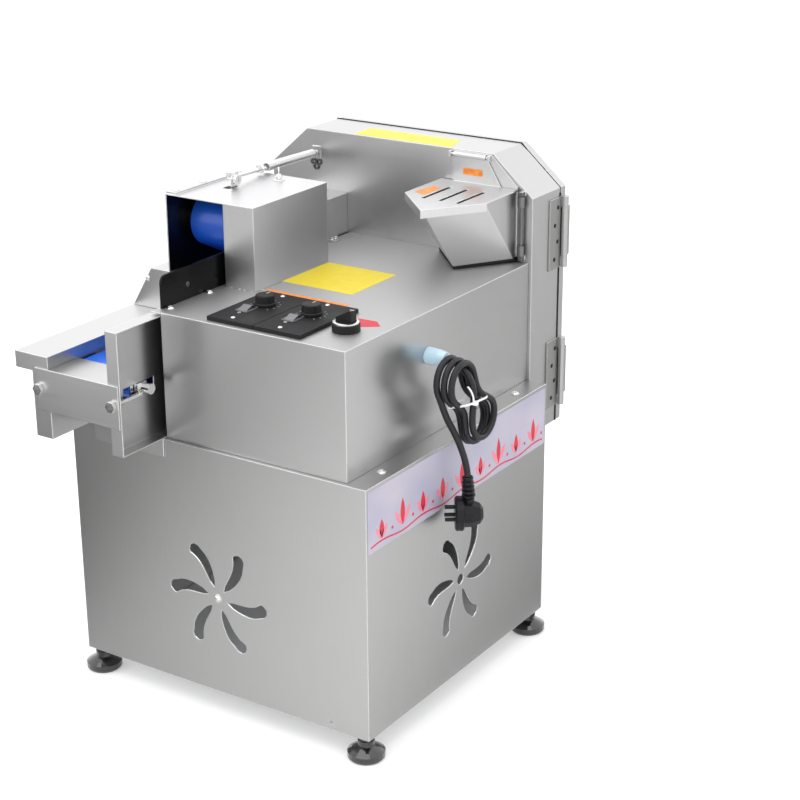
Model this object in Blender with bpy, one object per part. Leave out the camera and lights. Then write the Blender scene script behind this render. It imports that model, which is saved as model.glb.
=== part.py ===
# Desktop vegetable cutting machine: a base cabinet with the motors, a drive housing with the
# controls, a cutter head behind them, and an infeed conveyor with a sprung press belt.
# Metres, +Z up. Everything is drawn from the cabinet's front left corner at floor level, with X
# along the front and Y away from the operator. The machine empty then brings the origin under the middle.
import math

import bmesh
import bpy
from mathutils import Matrix, Vector

gap = 0.0003  # between pieces that touch
running = 0.0003  # between a shaft and its bore
sheet = 0.0015  # stainless sheet

# Levelling feet
foot_height = 0.032
foot_radius = 0.0245
foot_stem_radius = 0.005
foot_inset = 0.014  # foot centre from both cabinet edges

# Base cabinet
base_width = 0.468
base_depth = 0.4397
base_height = 0.3425
base_lip = 0.026  # inward fold along the bottom
base_top = foot_height + base_height
floor_thickness = 0.0015
floor_top = foot_height + sheet + gap + floor_thickness
wall_y = base_depth + gap  # face that the cutter head hangs on

# Pinwheel vents
vent_radius = 0.079
vent_inner = 0.0155
vent_petal_width = 0.0185
vent_sweep = math.radians(10.5)
vent_petals = 6
vent_hub_radius = 0.0075
front_vent_x = base_width / 2
side_vent_y = 0.217
vent_z = 0.169
drain_x = base_width - 0.058  # small hole low in the front wall
drain_z = foot_height + 0.010
drain_radius = 0.003

# Infeed conveyor
trough_left = 0.038
trough_width = 0.100
trough_right = trough_left + trough_width
channel_flange = 0.0187
conveyor_front = -0.077
right_guard_top = base_top + 0.1635
shelf_top = base_top + 0.1105
shelf_left = -0.017
shelf_lip = 0.022
shelf_end = 0.150
left_flange_x = 0.011
conveyor_bottom = base_top + gap
roller_axis_z = base_top + 0.0735
roller_radius = 0.0157
roller_length = trough_width - 0.006
axle_radius = 0.006
tail_y = -0.018
drive_y = base_depth - 0.0347
belt_thickness = 0.0018
belt_width = roller_length - 0.002
belt_inner = roller_radius + gap
belt_outer = belt_inner + belt_thickness
slot_height = 2 * axle_radius + 0.0012
slot_travel = 0.012
belt_top = roller_axis_z + belt_outer
slider_length = 0.018
apron_top = belt_top + 0.003
apron_rear = -0.022
front_plate_left = 0.017
front_plate_width = 0.138
front_plate_low = roller_axis_z - 0.036
hook_left = trough_left + 0.0015  # plate that hangs the conveyor on the cabinet's front wall
hook_drop = 0.024
left_bolt_x = trough_left - 0.0147
right_bolt_x = trough_right + 0.0072
bolt_radius = 0.003
bolt_head = 0.0053
bolt_head_radius = 0.0075
bolt_z = roller_axis_z - 0.0065

# Drive housing
housing_left = trough_right + channel_flange + gap
side_ledge = 0.031  # cabinet top left free beside the housing
housing_front = 0.006
deck_z = base_top + 0.1675
deck_overhang = 0.0135  # deck edge that reaches out over the right channel
housing_right = base_width - side_ledge
gearbox_right = housing_left + 0.033
gearbox_half = 0.025
gearmotor_radius = 0.027

# Cutter head casing
casing_left = 0.010
casing_right = base_width - 0.0265
casing_depth = 0.075
casing_bottom = base_top - 0.0835
casing_top = base_top + 0.3105
casing_chamfer_x = 0.062
casing_chamfer_z = 0.054
casing_rim = 0.012  # inward fold that the gasket lies on
casing_rear = wall_y + casing_depth
gasket_thickness = 0.0028
door_depth = 0.012
door_front = casing_rear + 2 * gap + gasket_thickness
door_rear = door_front + door_depth
handle_reach = 0.035
handle_radius = 0.005

# Cutter and its drive
cutter_x = (casing_left + casing_right) / 2
cutter_z = (casing_bottom + casing_top) / 2
cutter_radius = min(casing_right - casing_left, casing_top - casing_bottom) / 2 - 0.019
cutter_hub_radius = 0.042
cutter_thickness = 0.006
cutter_shaft_radius = 0.0125
cutter_stud_radius = 0.010
blade_front = wall_y + sheet + 0.005
blade_thickness = 0.003
bearing_radius = 0.034
bearing_flange_radius = 0.052
bearing_length = 0.095
pulley_y = wall_y - 0.235
pulley_width = 0.018
driven_radius = 0.050
driver_radius = 0.030
groove_depth = 0.007
v_belt_width = 0.0105
v_belt_thickness = 0.006
motor_z = floor_top + 0.0947
motor_radius = 0.062
motor_length = 0.170
motor_shaft_radius = 0.008

# Press section
cover_left = 0.0616
cover_right = 0.2056
press_y = wall_y - 0.235
cover_front = press_y - 0.068
cover_rear = press_y + 0.094
cover_top = deck_z + 0.111
cover_window_right = 0.157
press_z = deck_z + 0.065
press_radius = 0.0327
press_rear_y = drive_y
press_rear_z = belt_top + 0.0222
press_rear_radius = 0.0157
press_belt_thickness = 0.002
press_belt_width = 0.058
press_left = 0.0745
duct_top = deck_z + 0.0575
duct_left = 0.060
duct_right = trough_right + 0.002
duct_foot_y = base_depth - 0.0557
side_plate_top = deck_z + 0.043
side_plate_front = housing_front + 0.012
side_plate_right_face = trough_right + 0.012
side_plate_thickness = 0.003
left_plate_x = 0.058
left_plate_thickness = 0.0055
rear_axle_radius = 0.005
arm_left = 0.0645
arm_right = 0.135
arm_thickness = 0.0025
bar_low = 0.0364  # cross bar above the press axis
bar_high = 0.0405
lug_x = 0.1125
lug_width = 0.010
lug_rear = press_y + 0.016
lug_z = cover_top + 0.0125  # height of the spring's lower end
neck_width = 0.008
anchor_end = (0.088, wall_y - 0.004, casing_top - 0.033)  # where the spring hangs on the casing
eye_share = 0.33
spring_radius = 0.007

# Feed hopper
hopper_lid_z = deck_z + 0.098
hopper_bottom_z = deck_z + 0.0006
hopper_left = housing_right - 0.134
hopper_right = housing_right - 0.019
hopper_apex_x = housing_right - 0.070
hopper_top_y = (wall_y - 0.093, wall_y - 0.157, wall_y - 0.085)  # left, front and right corner at the rim
hopper_foot_y = (wall_y - 0.010, wall_y - 0.078, wall_y - 0.006)
hopper_pin = (hopper_right + 0.0095, wall_y - 0.0055)
hopper_lug_low = deck_z + 0.003
hopper_lug_high = hopper_lid_z - 0.006
lug_height = 0.006
lid_flange = 0.0115
lid_margin = 0.0035  # from the hopper's rim to the lid's edge
lid_left = hopper_left + 0.013
lid_right_top = lid_left + 0.062
flap_right = hopper_right - 0.023
lid_rod_y = wall_y - 0.006
lid_rod_z = casing_top - 0.0055
lid_rod_radius = 0.002
lid_back = wall_y - 2 * gap - sheet - gap
lid_slot_first = hopper_left + 0.033
lid_slot_pitch = 0.0265
lid_slot_front = wall_y - 0.108
lid_slot_length = 0.070
lid_slot_width = 0.006

# Butt hinges of the rear door
hinge_length = 0.100
hinge_leaf = 0.030
hinge_leaf_thickness = 0.002
hinge_knuckle = 0.015
hinge_radius = 0.005
hinge_pin_radius = 0.0025
hinge_x = casing_right + gap + 0.0052
hinge_y = casing_rear + hinge_radius + gap
hinge_centres = (casing_top - 0.116, casing_bottom + 0.075)

# Control panels
panel_front = housing_front + 0.008
panel_length = 0.123
panel_width = 0.0705
panel_thickness = 0.005
panel_left = housing_right - 0.2125
panel_pitch = panel_width + 0.001
knob_radius = 0.0135
knob_height = 0.014
knob_offset = 0.0345
knob_y = panel_front + 0.0735
panel_top = deck_z + gap + panel_thickness
rocker_offset = 0.0255
rocker_y = panel_front + 0.0475
rocker_width = 0.013
rocker_length = 0.020
rocker_tilt = 10
selector_x = housing_right - 0.044
selector_y = housing_front + 0.066
selector_radius = 0.0175
selector_collar = 0.010

# Cord
cord_radius = 0.0043
gland_y = 0.186
gland_z = deck_z - 0.057
gland_length = 0.028
hank_near = base_width + 0.002
hank_far = hank_near + 0.0375
hank_centre = (0.1945, gland_z - 0.054)
hank_lean = (0.51, -0.86)  # from its upper to its lower end
hank_half = 0.0425
hank_radius = 0.0312
plug_centre = (base_width + 0.036, 0.1782, gland_z - 0.1976)
plug_turn = math.radians(55)
plug_radius = 0.0225
plug_length = 0.036
relief_top = (base_width + 0.036, 0.1741, gland_z - 0.1449)
relief_radius = 0.0072
relief_ribs = 5
tail_rise = 0.028  # along the hank, from its lower turn to where the end leaves it

bodies = {}
pivots = {}


def clear_scene():
    for old in list(bpy.data.objects):
        bpy.data.objects.remove(old, do_unlink=True)


def finish(obj, colour, roughness, metallic):
    surface = bpy.data.materials.new(obj.name + "_finish")
    surface.use_nodes = True
    shader = surface.node_tree.nodes["Principled BSDF"]
    shader.inputs["Base Color"].default_value = (*colour, 1.0)
    shader.inputs["Roughness"].default_value = roughness
    shader.inputs["Metallic"].default_value = metallic
    obj.data.materials.clear()
    obj.data.materials.append(surface)


def stainless(obj):
    finish(obj, (0.60, 0.60, 0.59), 0.30, 1.0)


def plastic(obj, colour=(0.02, 0.02, 0.022), roughness=0.45):
    finish(obj, colour, roughness, 0.0)


def made(name, bm, smooth=False):
    """Turns a bmesh into a linked object with outward faces."""
    bmesh.ops.remove_doubles(bm, verts=bm.verts, dist=1e-6)
    bmesh.ops.recalc_face_normals(bm, faces=bm.faces)
    mesh = bpy.data.meshes.new(name)
    bm.to_mesh(mesh)
    bm.free()
    if smooth:
        mesh.shade_smooth()
        mesh.set_sharp_from_angle(angle=math.radians(35))
    obj = bpy.data.objects.new(name, mesh)
    bpy.context.collection.objects.link(obj)
    return obj


def placed(axis, a, b, along):
    """Point from in-plane coordinates: X takes (y, z), Y takes (x, z), Z takes (x, y)."""
    if axis == "X":
        return Vector((along, a, b))
    if axis == "Y":
        return Vector((a, along, b))
    return Vector((a, b, along))


def prism(name, outline, axis, low, high, smooth=False):
    """Closed outline extruded along an axis from low to high."""
    bm = bmesh.new()
    rim = [bm.verts.new(placed(axis, a, b, low)) for a, b in outline]
    face = bm.faces.new(rim)
    moved = bmesh.ops.extrude_face_region(bm, geom=[face])
    tops = [item for item in moved["geom"] if isinstance(item, bmesh.types.BMVert)]
    bmesh.ops.translate(bm, verts=tops, vec=placed(axis, 0, 0, high - low))
    return made(name, bm, smooth)


def prisms(name, outlines, axis, low, high):
    """Several closed outlines extruded side by side in one object, as for a row of holes."""
    bm = bmesh.new()
    for outline in outlines:
        rim = [bm.verts.new(placed(axis, a, b, low)) for a, b in outline]
        face = bm.faces.new(rim)
        moved = bmesh.ops.extrude_face_region(bm, geom=[face])
        tops = [item for item in moved["geom"] if isinstance(item, bmesh.types.BMVert)]
        bmesh.ops.translate(bm, verts=tops, vec=placed(axis, 0, 0, high - low))
    return made(name, bm)


def band(name, outer, inner, axis, low, high):
    """Endless band between two loops with matching points, as a belt round its pulleys."""
    bm = bmesh.new()
    rings = []
    for outline, along in ((outer, low), (outer, high), (inner, high), (inner, low)):
        rings.append([bm.verts.new(placed(axis, a, b, along)) for a, b in outline])
    count = len(outer)
    for ring, following in zip(rings, rings[1:] + rings[:1]):
        for i in range(count):
            j = (i + 1) % count
            bm.faces.new((ring[i], ring[j], following[j], following[i]))
    return made(name, bm, smooth=True)


def belt_loop(first, first_radius, second, second_radius, steps=12):
    """Line of an open belt round two pulleys."""
    dx = second[0] - first[0]
    dy = second[1] - first[1]
    heading = math.degrees(math.atan2(dy, dx))
    lean = math.degrees(math.acos((first_radius - second_radius) / math.hypot(dx, dy)))
    near = arc(first, first_radius, heading + lean, heading + 360 - lean, steps)
    far = arc(second, second_radius, heading - lean, heading + lean, steps)
    return near + far


def circle(centre, radius, steps=16):
    return arc(centre, radius, 0, 360, steps)[:-1]


def box(name, low, high):
    outline = [(low[0], low[1]), (high[0], low[1]), (high[0], high[1]), (low[0], high[1])]
    return prism(name, outline, "Z", low[2], high[2])


def turned(name, profile, centre, direction, segments=24):
    """Profile of (radius, height) pairs spun about a line through centre."""
    bm = bmesh.new()
    verts = [bm.verts.new((radius, 0, height)) for radius, height in profile]
    edges = [bm.edges.new((verts[i], verts[(i + 1) % len(verts)])) for i in range(len(verts))]
    bmesh.ops.spin(bm, geom=verts + edges, cent=(0, 0, 0), axis=(0, 0, 1), dvec=(0, 0, 0),
                   angle=math.tau, steps=segments, use_merge=True)
    loose = [edge for edge in bm.edges if not edge.link_faces]
    bmesh.ops.delete(bm, geom=loose, context="EDGES")
    flat = [face for face in bm.faces if face.calc_area() < 1e-12]
    bmesh.ops.delete(bm, geom=flat, context="FACES")
    bmesh.ops.remove_doubles(bm, verts=bm.verts, dist=1e-6)
    turn = Vector((0, 0, 1)).rotation_difference(Vector(direction)).to_matrix().to_4x4()
    bm.transform(Matrix.Translation(centre) @ turn)
    return made(name, bm, smooth=True)


def rod(name, start, end, radius, segments=16, bore=0.0):
    """Round bar between two points, hollow where a bore is given."""
    start = Vector(start)
    along = Vector(end) - start
    profile = [(bore, 0), (radius, 0), (radius, along.length), (bore, along.length)]
    return turned(name, profile, start, along.normalized(), segments)


def helper(obj):
    obj.hide_render = True
    obj.display_type = "WIRE"
    return obj


def combine(obj, other, operation):
    step = obj.modifiers.new(other.name, "BOOLEAN")
    step.operation = operation
    step.solver = "EXACT"
    step.object = helper(other)


def cut(obj, *cutters):
    for cutter in cutters:
        combine(obj, cutter, "DIFFERENCE")
    return obj


def join(obj, *pieces):
    for piece in pieces:
        combine(obj, piece, "UNION")
    return obj


def folded(path, thickness):
    """Outline of a bent sheet whose left face follows the path, with mitred corners."""
    normals = []
    for (ax, ay), (bx, by) in zip(path, path[1:]):
        length = math.hypot(bx - ax, by - ay)
        normals.append(((by - ay) / length, (ax - bx) / length))
    inner = []
    for i, (x, y) in enumerate(path):
        before = normals[max(i - 1, 0)]
        after = normals[min(i, len(normals) - 1)]
        reach = thickness / (1 + before[0] * after[0] + before[1] * after[1])
        inner.append((x + (before[0] + after[0]) * reach, y + (before[1] + after[1]) * reach))
    return list(path) + inner[::-1]


def inset(outline, amount):
    """Convex outline, anticlockwise, drawn in by an amount."""
    shifted = []
    count = len(outline)
    for i, (x, y) in enumerate(outline):
        ax, ay = outline[i - 1]
        bx, by = outline[(i + 1) % count]
        before = math.hypot(x - ax, y - ay)
        after = math.hypot(bx - x, by - y)
        n1 = (-(y - ay) / before, (x - ax) / before)
        n2 = (-(by - y) / after, (bx - x) / after)
        reach = amount / (1 + n1[0] * n2[0] + n1[1] * n2[1])
        shifted.append((x + (n1[0] + n2[0]) * reach, y + (n1[1] + n2[1]) * reach))
    return shifted


def arc(centre, radius, start, end, steps):
    """Points from start to end angle, in degrees."""
    points = []
    for i in range(steps + 1):
        angle = math.radians(start + (end - start) * i / steps)
        points.append((centre[0] + radius * math.cos(angle), centre[1] + radius * math.sin(angle)))
    return points


def petal(centre, angle):
    """Vent petal: a drop that bends over at its round tip and is pointed at the hub."""
    half = vent_petal_width / 2
    reach = vent_radius - half
    left, right = [], []
    steps = 6
    for i in range(steps + 1):
        share = i / steps
        radius = vent_inner + (reach - vent_inner) * share
        turn = angle - vent_sweep * (1 - share ** 3)
        width = half * share ** 0.45
        x = centre[0] + radius * math.cos(turn)
        y = centre[1] + radius * math.sin(turn)
        side = (-math.sin(turn), math.cos(turn))
        left.append((x + side[0] * width, y + side[1] * width))
        right.append((x - side[0] * width, y - side[1] * width))
    tip = (centre[0] + reach * math.cos(angle), centre[1] + reach * math.sin(angle))
    round_end = arc(tip, half, math.degrees(angle) - 60, math.degrees(angle) + 60, 3)
    return right + round_end + left[:0:-1]


def attach(obj, body):
    """Hangs an object, with its cutters, on a body's empty and leaves it where it is."""
    obj.parent = bodies[body]
    obj.location = -pivots[body]
    for step in obj.modifiers:
        if step.type == "BOOLEAN" and step.object.parent is None:
            attach(step.object, body)
    return obj


def new_body(name, pivot, parent=None):
    empty = bpy.data.objects.new(name + "_axis", None)
    bpy.context.collection.objects.link(empty)
    bodies[name] = empty
    pivots[name] = Vector(pivot)
    if parent:
        empty.parent = bodies[parent]
        empty.location = pivots[name] - pivots[parent]


# Base cabinet and feet


def foot_places():
    for side, x in (("left", foot_inset), ("right", base_width - foot_inset)):
        for end, y in (("front", foot_inset), ("rear", base_depth - foot_inset)):
            yield f"foot_{end}_{side}", x, y


def make_foot(name, x, y):
    """Bell foot with its lock nut and the threaded stem that enters the cabinet."""
    neck = 0.011
    nut_radius = 0.0085
    nut_height = 0.006
    stem_top = foot_height + 0.010
    profile = [(0, 0), (foot_radius - 0.002, 0), (foot_radius, 0.003), (foot_radius, 0.010),
               (foot_radius - 0.006, 0.014), (neck, 0.018), (neck, foot_height - nut_height - gap),
               (nut_radius, foot_height - nut_height - gap), (nut_radius, foot_height - gap),
               (foot_stem_radius, foot_height - gap), (foot_stem_radius, stem_top), (0, stem_top)]
    foot = turned(name, profile, (x, y, 0), (0, 0, 1), 24)
    plastic(foot, (0.015, 0.015, 0.016), 0.5)
    return foot


def make_base_cabinet():
    """Folded sheet box, open below inside its bottom fold, with a pinwheel vent in two walls."""
    cabinet = box("base_cabinet", (0, 0, foot_height), (base_width, base_depth, base_top))
    room = box("cabinet_room", (sheet, sheet, foot_height + sheet),
               (base_width - sheet, base_depth - sheet, base_top - sheet))
    below = box("cabinet_underside", (base_lip, base_lip, foot_height - sheet),
                (base_width - base_lip, base_depth - base_lip, foot_height + 2 * sheet))
    belt_way = box("cabinet_belt_way", (housing_left + 0.012, base_lip, base_top - 2 * sheet),
                   (housing_right - base_lip, base_depth - base_lip, base_top + sheet))
    turns = [math.tau * i / vent_petals for i in range(vent_petals)]
    front_centre = (front_vent_x, vent_z)
    side_centre = (side_vent_y, vent_z)
    front = [petal(front_centre, turn) for turn in turns] + [circle((drain_x, drain_z), drain_radius, 10)]
    side = [petal(side_centre, turn) for turn in turns] + [circle(side_centre, vent_hub_radius, 12)]
    front_vent = prisms("front_vent", front, "Y", -sheet, 2 * sheet)
    side_vent = prisms("side_vent", side, "X", base_width - 2 * sheet, base_width + sheet)
    holes = [circle((x, y), foot_stem_radius + running, 16) for _, x, y in foot_places()]
    stem_holes = prisms("stem_holes", holes, "Z", foot_height - sheet, foot_height + 2 * sheet)
    cut(cabinet, room, below, belt_way, front_vent, side_vent, stem_holes)
    stainless(cabinet)
    return cabinet


def make_base_floor():
    """Motor plate resting on the bottom fold, with its corners clipped round the feet."""
    edge = sheet + 0.001
    clip = 0.032
    low = foot_height + sheet + gap
    right = base_width - edge
    back = base_depth - edge
    outline = [(edge + clip, edge), (right - clip, edge), (right, edge + clip), (right, back - clip),
               (right - clip, back), (edge + clip, back), (edge, back - clip), (edge, edge + clip)]
    floor = prism("motor_plate", outline, "Z", low, low + floor_thickness)
    finish(floor, (0.45, 0.46, 0.47), 0.4, 1.0)
    return floor


# Drive housing


def make_housing():
    """Deck and three walls in one folding, open below and towards the cutter head."""
    low = base_top + gap
    housing = box("drive_housing", (housing_left, housing_front, low), (housing_right, base_depth, deck_z))
    edge = box("deck_edge", (housing_left - deck_overhang, housing_front - 0.002, deck_z - sheet),
               (housing_left + sheet / 2, base_depth, deck_z))
    join(housing, edge)
    room = box("housing_room", (housing_left + sheet, housing_front + sheet, low - sheet),
               (housing_right - sheet, base_depth + sheet, deck_z - sheet))
    axle_hole = rod("axle_hole", (housing_left - sheet, drive_y, roller_axis_z),
                    (housing_left + 2 * sheet, drive_y, roller_axis_z), axle_radius + sheet)
    cord_hole = rod("cord_hole", (housing_right - 2 * sheet, gland_y, gland_z),
                    (housing_right + sheet, gland_y, gland_z), cord_radius + running)
    cut(housing, room, axle_hole, cord_hole)
    stainless(housing)
    return housing


# Cutter head casing and rear door


def casing_outline():
    shoulder = casing_top - casing_chamfer_z
    return [(casing_left, casing_bottom), (casing_right, casing_bottom), (casing_right, shoulder),
            (casing_right - casing_chamfer_x, casing_top), (casing_left + casing_chamfer_x, casing_top),
            (casing_left, shoulder)]


def open_below(outline, drop):
    return [(x, z - drop if z < casing_bottom + 2 * casing_rim else z) for x, z in outline]


def make_casing():
    """Deep six-sided sheet casing, open below for the discharge, with a folded rear rim."""
    casing = prism("head_casing", casing_outline(), "Y", wall_y, casing_rear)
    pin_x, pin_y = hopper_pin
    lug = 0.003
    lugs = [box(f"hopper_lug_{i}", (pin_x - lug, pin_y - lug, z),
                (pin_x + lug, wall_y + sheet / 2, z + lug_height))
            for i, z in enumerate((hopper_lug_low, hopper_lug_high))]
    pin = rod("hopper_pin", (pin_x, pin_y, hopper_lug_low + lug_height / 2),
              (pin_x, pin_y, hopper_lug_high + lug_height / 2), hinge_pin_radius, 12)
    x, y, z = anchor_end
    plate = box("anchor_plate", (x - 0.007, wall_y - 0.002, z - 0.009),
                (x + 0.007, wall_y + sheet / 2, z + 0.009))
    stud = rod("anchor_stud", (x, wall_y, z), (x, y, z), 0.003, 12)
    join(casing, *lugs, pin, plate, stud)
    inner = open_below(inset(casing_outline(), sheet), 2 * casing_rim)
    room = prism("casing_room", inner, "Y", wall_y + sheet, casing_rear - sheet)
    mouth = open_below(inset(casing_outline(), sheet + casing_rim), 3 * casing_rim)
    rear = prism("casing_rear_opening", mouth, "Y", casing_rear - 2 * sheet, casing_rear + sheet)
    feed = box("feed_port", (duct_left + 2 * sheet, wall_y - sheet, belt_top + gap),
               (trough_right - sheet, wall_y + 2 * sheet, duct_top - 2 * sheet))
    chute = box("hopper_port", (hopper_left + 0.008, wall_y - sheet, hopper_bottom_z + 0.012),
                (hopper_right - 0.008, wall_y + 2 * sheet, hopper_lid_z - 0.010))
    shaft = rod("shaft_port", (cutter_x, wall_y - sheet, cutter_z), (cutter_x, wall_y + 2 * sheet, cutter_z),
                cutter_shaft_radius + 0.003)
    cut(casing, room, rear, feed, chute, shaft)
    stainless(casing)
    return casing


def make_gasket():
    """Rubber strip on the rim, round the top and sides of the opening."""
    low = casing_rear + gap
    seal = prism("door_gasket", inset(casing_outline(), 0.0008), "Y", low, low + gasket_thickness)
    inner = open_below(inset(casing_outline(), casing_rim), 3 * casing_rim)
    cut(seal, prism("gasket_opening", inner, "Y", low - sheet, low + gasket_thickness + sheet))
    plastic(seal, (0.01, 0.01, 0.01), 0.7)
    return seal


def make_door():
    """Tray-shaped door with a folded lip and a bow handle on its free side."""
    hem = 0.016
    door = prism("rear_door", casing_outline(), "Y", door_front, door_rear)
    grip_x = casing_left + 0.045
    grip_z = (cutter_z - 0.055, cutter_z + 0.055)
    reach = door_rear + handle_reach - handle_radius
    posts = [rod(f"handle_post_{i}", (grip_x, door_rear - sheet / 2, z), (grip_x, reach, z), handle_radius,
                 12)
             for i, z in enumerate(grip_z)]
    bar = rod("handle_bar", (grip_x, reach, grip_z[0] - handle_radius),
              (grip_x, reach, grip_z[1] + handle_radius), handle_radius, 12)
    join(door, *posts, bar)
    tray = prism("door_tray", inset(casing_outline(), sheet), "Y", door_front + sheet, door_rear - sheet)
    lip = prism("door_lip", inset(casing_outline(), hem), "Y", door_front - sheet, door_front + 2 * sheet)
    cut(door, tray, lip)
    stainless(door)
    return door


def make_hinge(name, z):
    """Butt hinge: end knuckles and pin on the casing leaf, the middle knuckle on the door leaf."""
    low = z - hinge_length / 2
    high = z + hinge_length / 2
    leaf_face = casing_right + gap
    leaf_outer = leaf_face + hinge_leaf_thickness
    leaf_end = casing_rear
    casing_leaf = box(f"{name}_casing_leaf", (leaf_face, casing_rear - hinge_leaf, low),
                      (leaf_outer, leaf_end, high))
    ends = ((low, low + hinge_knuckle), (high - hinge_knuckle, high))
    for i, (start, end) in enumerate(ends):
        strap = box(f"{name}_strap_{i}", (leaf_face, leaf_end - 0.002, start), (leaf_outer, hinge_y, end))
        knuckle = rod(f"{name}_knuckle_{i}", (hinge_x, hinge_y, start), (hinge_x, hinge_y, end),
                      hinge_radius, 16)
        join(casing_leaf, strap, knuckle)
    pin = rod(f"{name}_pin", (hinge_x, hinge_y, low + sheet), (hinge_x, hinge_y, high - sheet),
              hinge_pin_radius, 12)
    join(casing_leaf, pin)
    holes = []
    for i in range(4):
        side = 0.008 if i % 2 else 0.016
        holes.append(circle((casing_rear - side, low + hinge_length * (0.14 + 0.24 * i)), 0.0026, 10))
    cut(casing_leaf, prisms(f"{name}_leaf_holes", holes, "X", leaf_face - sheet, leaf_outer + sheet))
    stainless(casing_leaf)

    start = low + hinge_knuckle + gap
    end = high - hinge_knuckle - gap
    wing_y = door_rear + gap
    web = box(f"{name}_door_leaf", (hinge_x - hinge_leaf_thickness / 2, hinge_y, start),
              (hinge_x + hinge_leaf_thickness / 2, wing_y + hinge_leaf_thickness, end))
    wing = box(f"{name}_wing", (casing_right - hinge_leaf, wing_y, start),
               (hinge_x + hinge_leaf_thickness / 4, wing_y + hinge_leaf_thickness, end))
    barrel = rod(f"{name}_barrel", (hinge_x, hinge_y, start), (hinge_x, hinge_y, end), hinge_radius, 16)
    join(web, wing, barrel)
    cut(web, rod(f"{name}_bore", (hinge_x, hinge_y, start - sheet), (hinge_x, hinge_y, end + sheet),
                 hinge_pin_radius + running, 16))
    stainless(web)
    return casing_leaf, web


# Cutter, motor and V-belt


def swept_blade(start_angle, inner, outer, lean, spread, steps=8):
    """Outline that leans back as it runs outwards, wider at the rim than at the hub."""
    leading, trailing = [], []
    for i in range(steps + 1):
        share = i / steps
        radius = inner + (outer - inner) * share
        front = start_angle + lean * share ** 0.8
        back = front + spread * (0.55 + 0.45 * share)
        leading.append((cutter_x + radius * math.cos(front), cutter_z + radius * math.sin(front)))
        trailing.append((cutter_x + radius * math.cos(back), cutter_z + radius * math.sin(back)))
    return leading + trailing[::-1]


def make_cutter():
    """Wheel with two swept arms in a rim, a blade in front of each arm, and the shaft with its pulley."""
    hub_front = blade_front
    hub = turned("cutter_wheel", [(cutter_stud_radius + running, 0), (cutter_hub_radius, 0),
                                  (cutter_hub_radius, 0.014), (cutter_stud_radius + running, 0.014)],
                 (cutter_x, hub_front, cutter_z), (0, 1, 0), 28)
    arm_y = blade_front + blade_thickness + gap
    for i in range(2):
        outline = swept_blade(math.pi * i, cutter_hub_radius - 0.006, cutter_radius - 0.006,
                              math.radians(62), math.radians(24))
        join(hub, prism(f"cutter_arm_{i}", outline, "Y", arm_y, arm_y + cutter_thickness))
    rim = turned("cutter_rim", [(cutter_radius - 0.012, 0), (cutter_radius, 0),
                                (cutter_radius, cutter_thickness),
                                (cutter_radius - 0.012, cutter_thickness)],
                 (cutter_x, arm_y, cutter_z), (0, 1, 0), 48)
    join(hub, rim)
    finish(hub, (0.62, 0.62, 0.61), 0.35, 1.0)

    blades = []
    for i in range(2):
        outline = swept_blade(math.pi * i - math.radians(2), cutter_hub_radius + 0.002,
                              cutter_radius - 0.013,
                              math.radians(62), math.radians(14))
        blade = prism(f"cutter_blade_{i + 1}", outline, "Y", blade_front, blade_front + blade_thickness)
        finish(blade, (0.72, 0.72, 0.72), 0.2, 1.0)
        blades.append(blade)

    start = pulley_y - pulley_width / 2
    reach = hub_front - gap - start
    lip = (pulley_width - v_belt_width) / 2 - gap
    floor_radius = driven_radius - groove_depth
    profile = [(0, 0), (driven_radius, 0), (driven_radius, lip), (floor_radius, lip),
               (floor_radius, pulley_width - lip), (driven_radius, pulley_width - lip),
               (driven_radius, pulley_width), (cutter_shaft_radius, pulley_width),
               (cutter_shaft_radius, reach), (cutter_stud_radius, reach),
               (cutter_stud_radius, reach + 0.018), (0, reach + 0.018)]
    shaft = turned("cutter_shaft", profile, (cutter_x, start, cutter_z), (0, 1, 0), 32)
    finish(shaft, (0.50, 0.50, 0.50), 0.35, 1.0)
    return [hub, shaft] + blades


def make_bearing_housing():
    """Flanged bearing housing bolted to the casing wall."""
    flange = 0.009
    rear = wall_y - gap
    length = bearing_length
    bore = cutter_shaft_radius + running
    profile = [(bore, 0), (bearing_radius, 0), (bearing_radius, length - flange),
               (bearing_flange_radius, length - flange), (bearing_flange_radius, length), (bore, length)]
    housing = turned("bearing_housing", profile, (cutter_x, rear - length, cutter_z), (0, 1, 0), 28)
    finish(housing, (0.30, 0.31, 0.32), 0.6, 0.6)
    return housing


def make_v_belt():
    drop = groove_depth - gap
    first = (cutter_x, cutter_z)
    second = (cutter_x, motor_z)
    inner = belt_loop(first, driven_radius - drop, second, driver_radius - drop, 14)
    outer = belt_loop(first, driven_radius - drop + v_belt_thickness,
                      second, driver_radius - drop + v_belt_thickness, 14)
    belt = band("v_belt", outer, inner, "Y", pulley_y - v_belt_width / 2, pulley_y + v_belt_width / 2)
    plastic(belt, (0.02, 0.02, 0.02), 0.8)
    return belt


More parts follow.
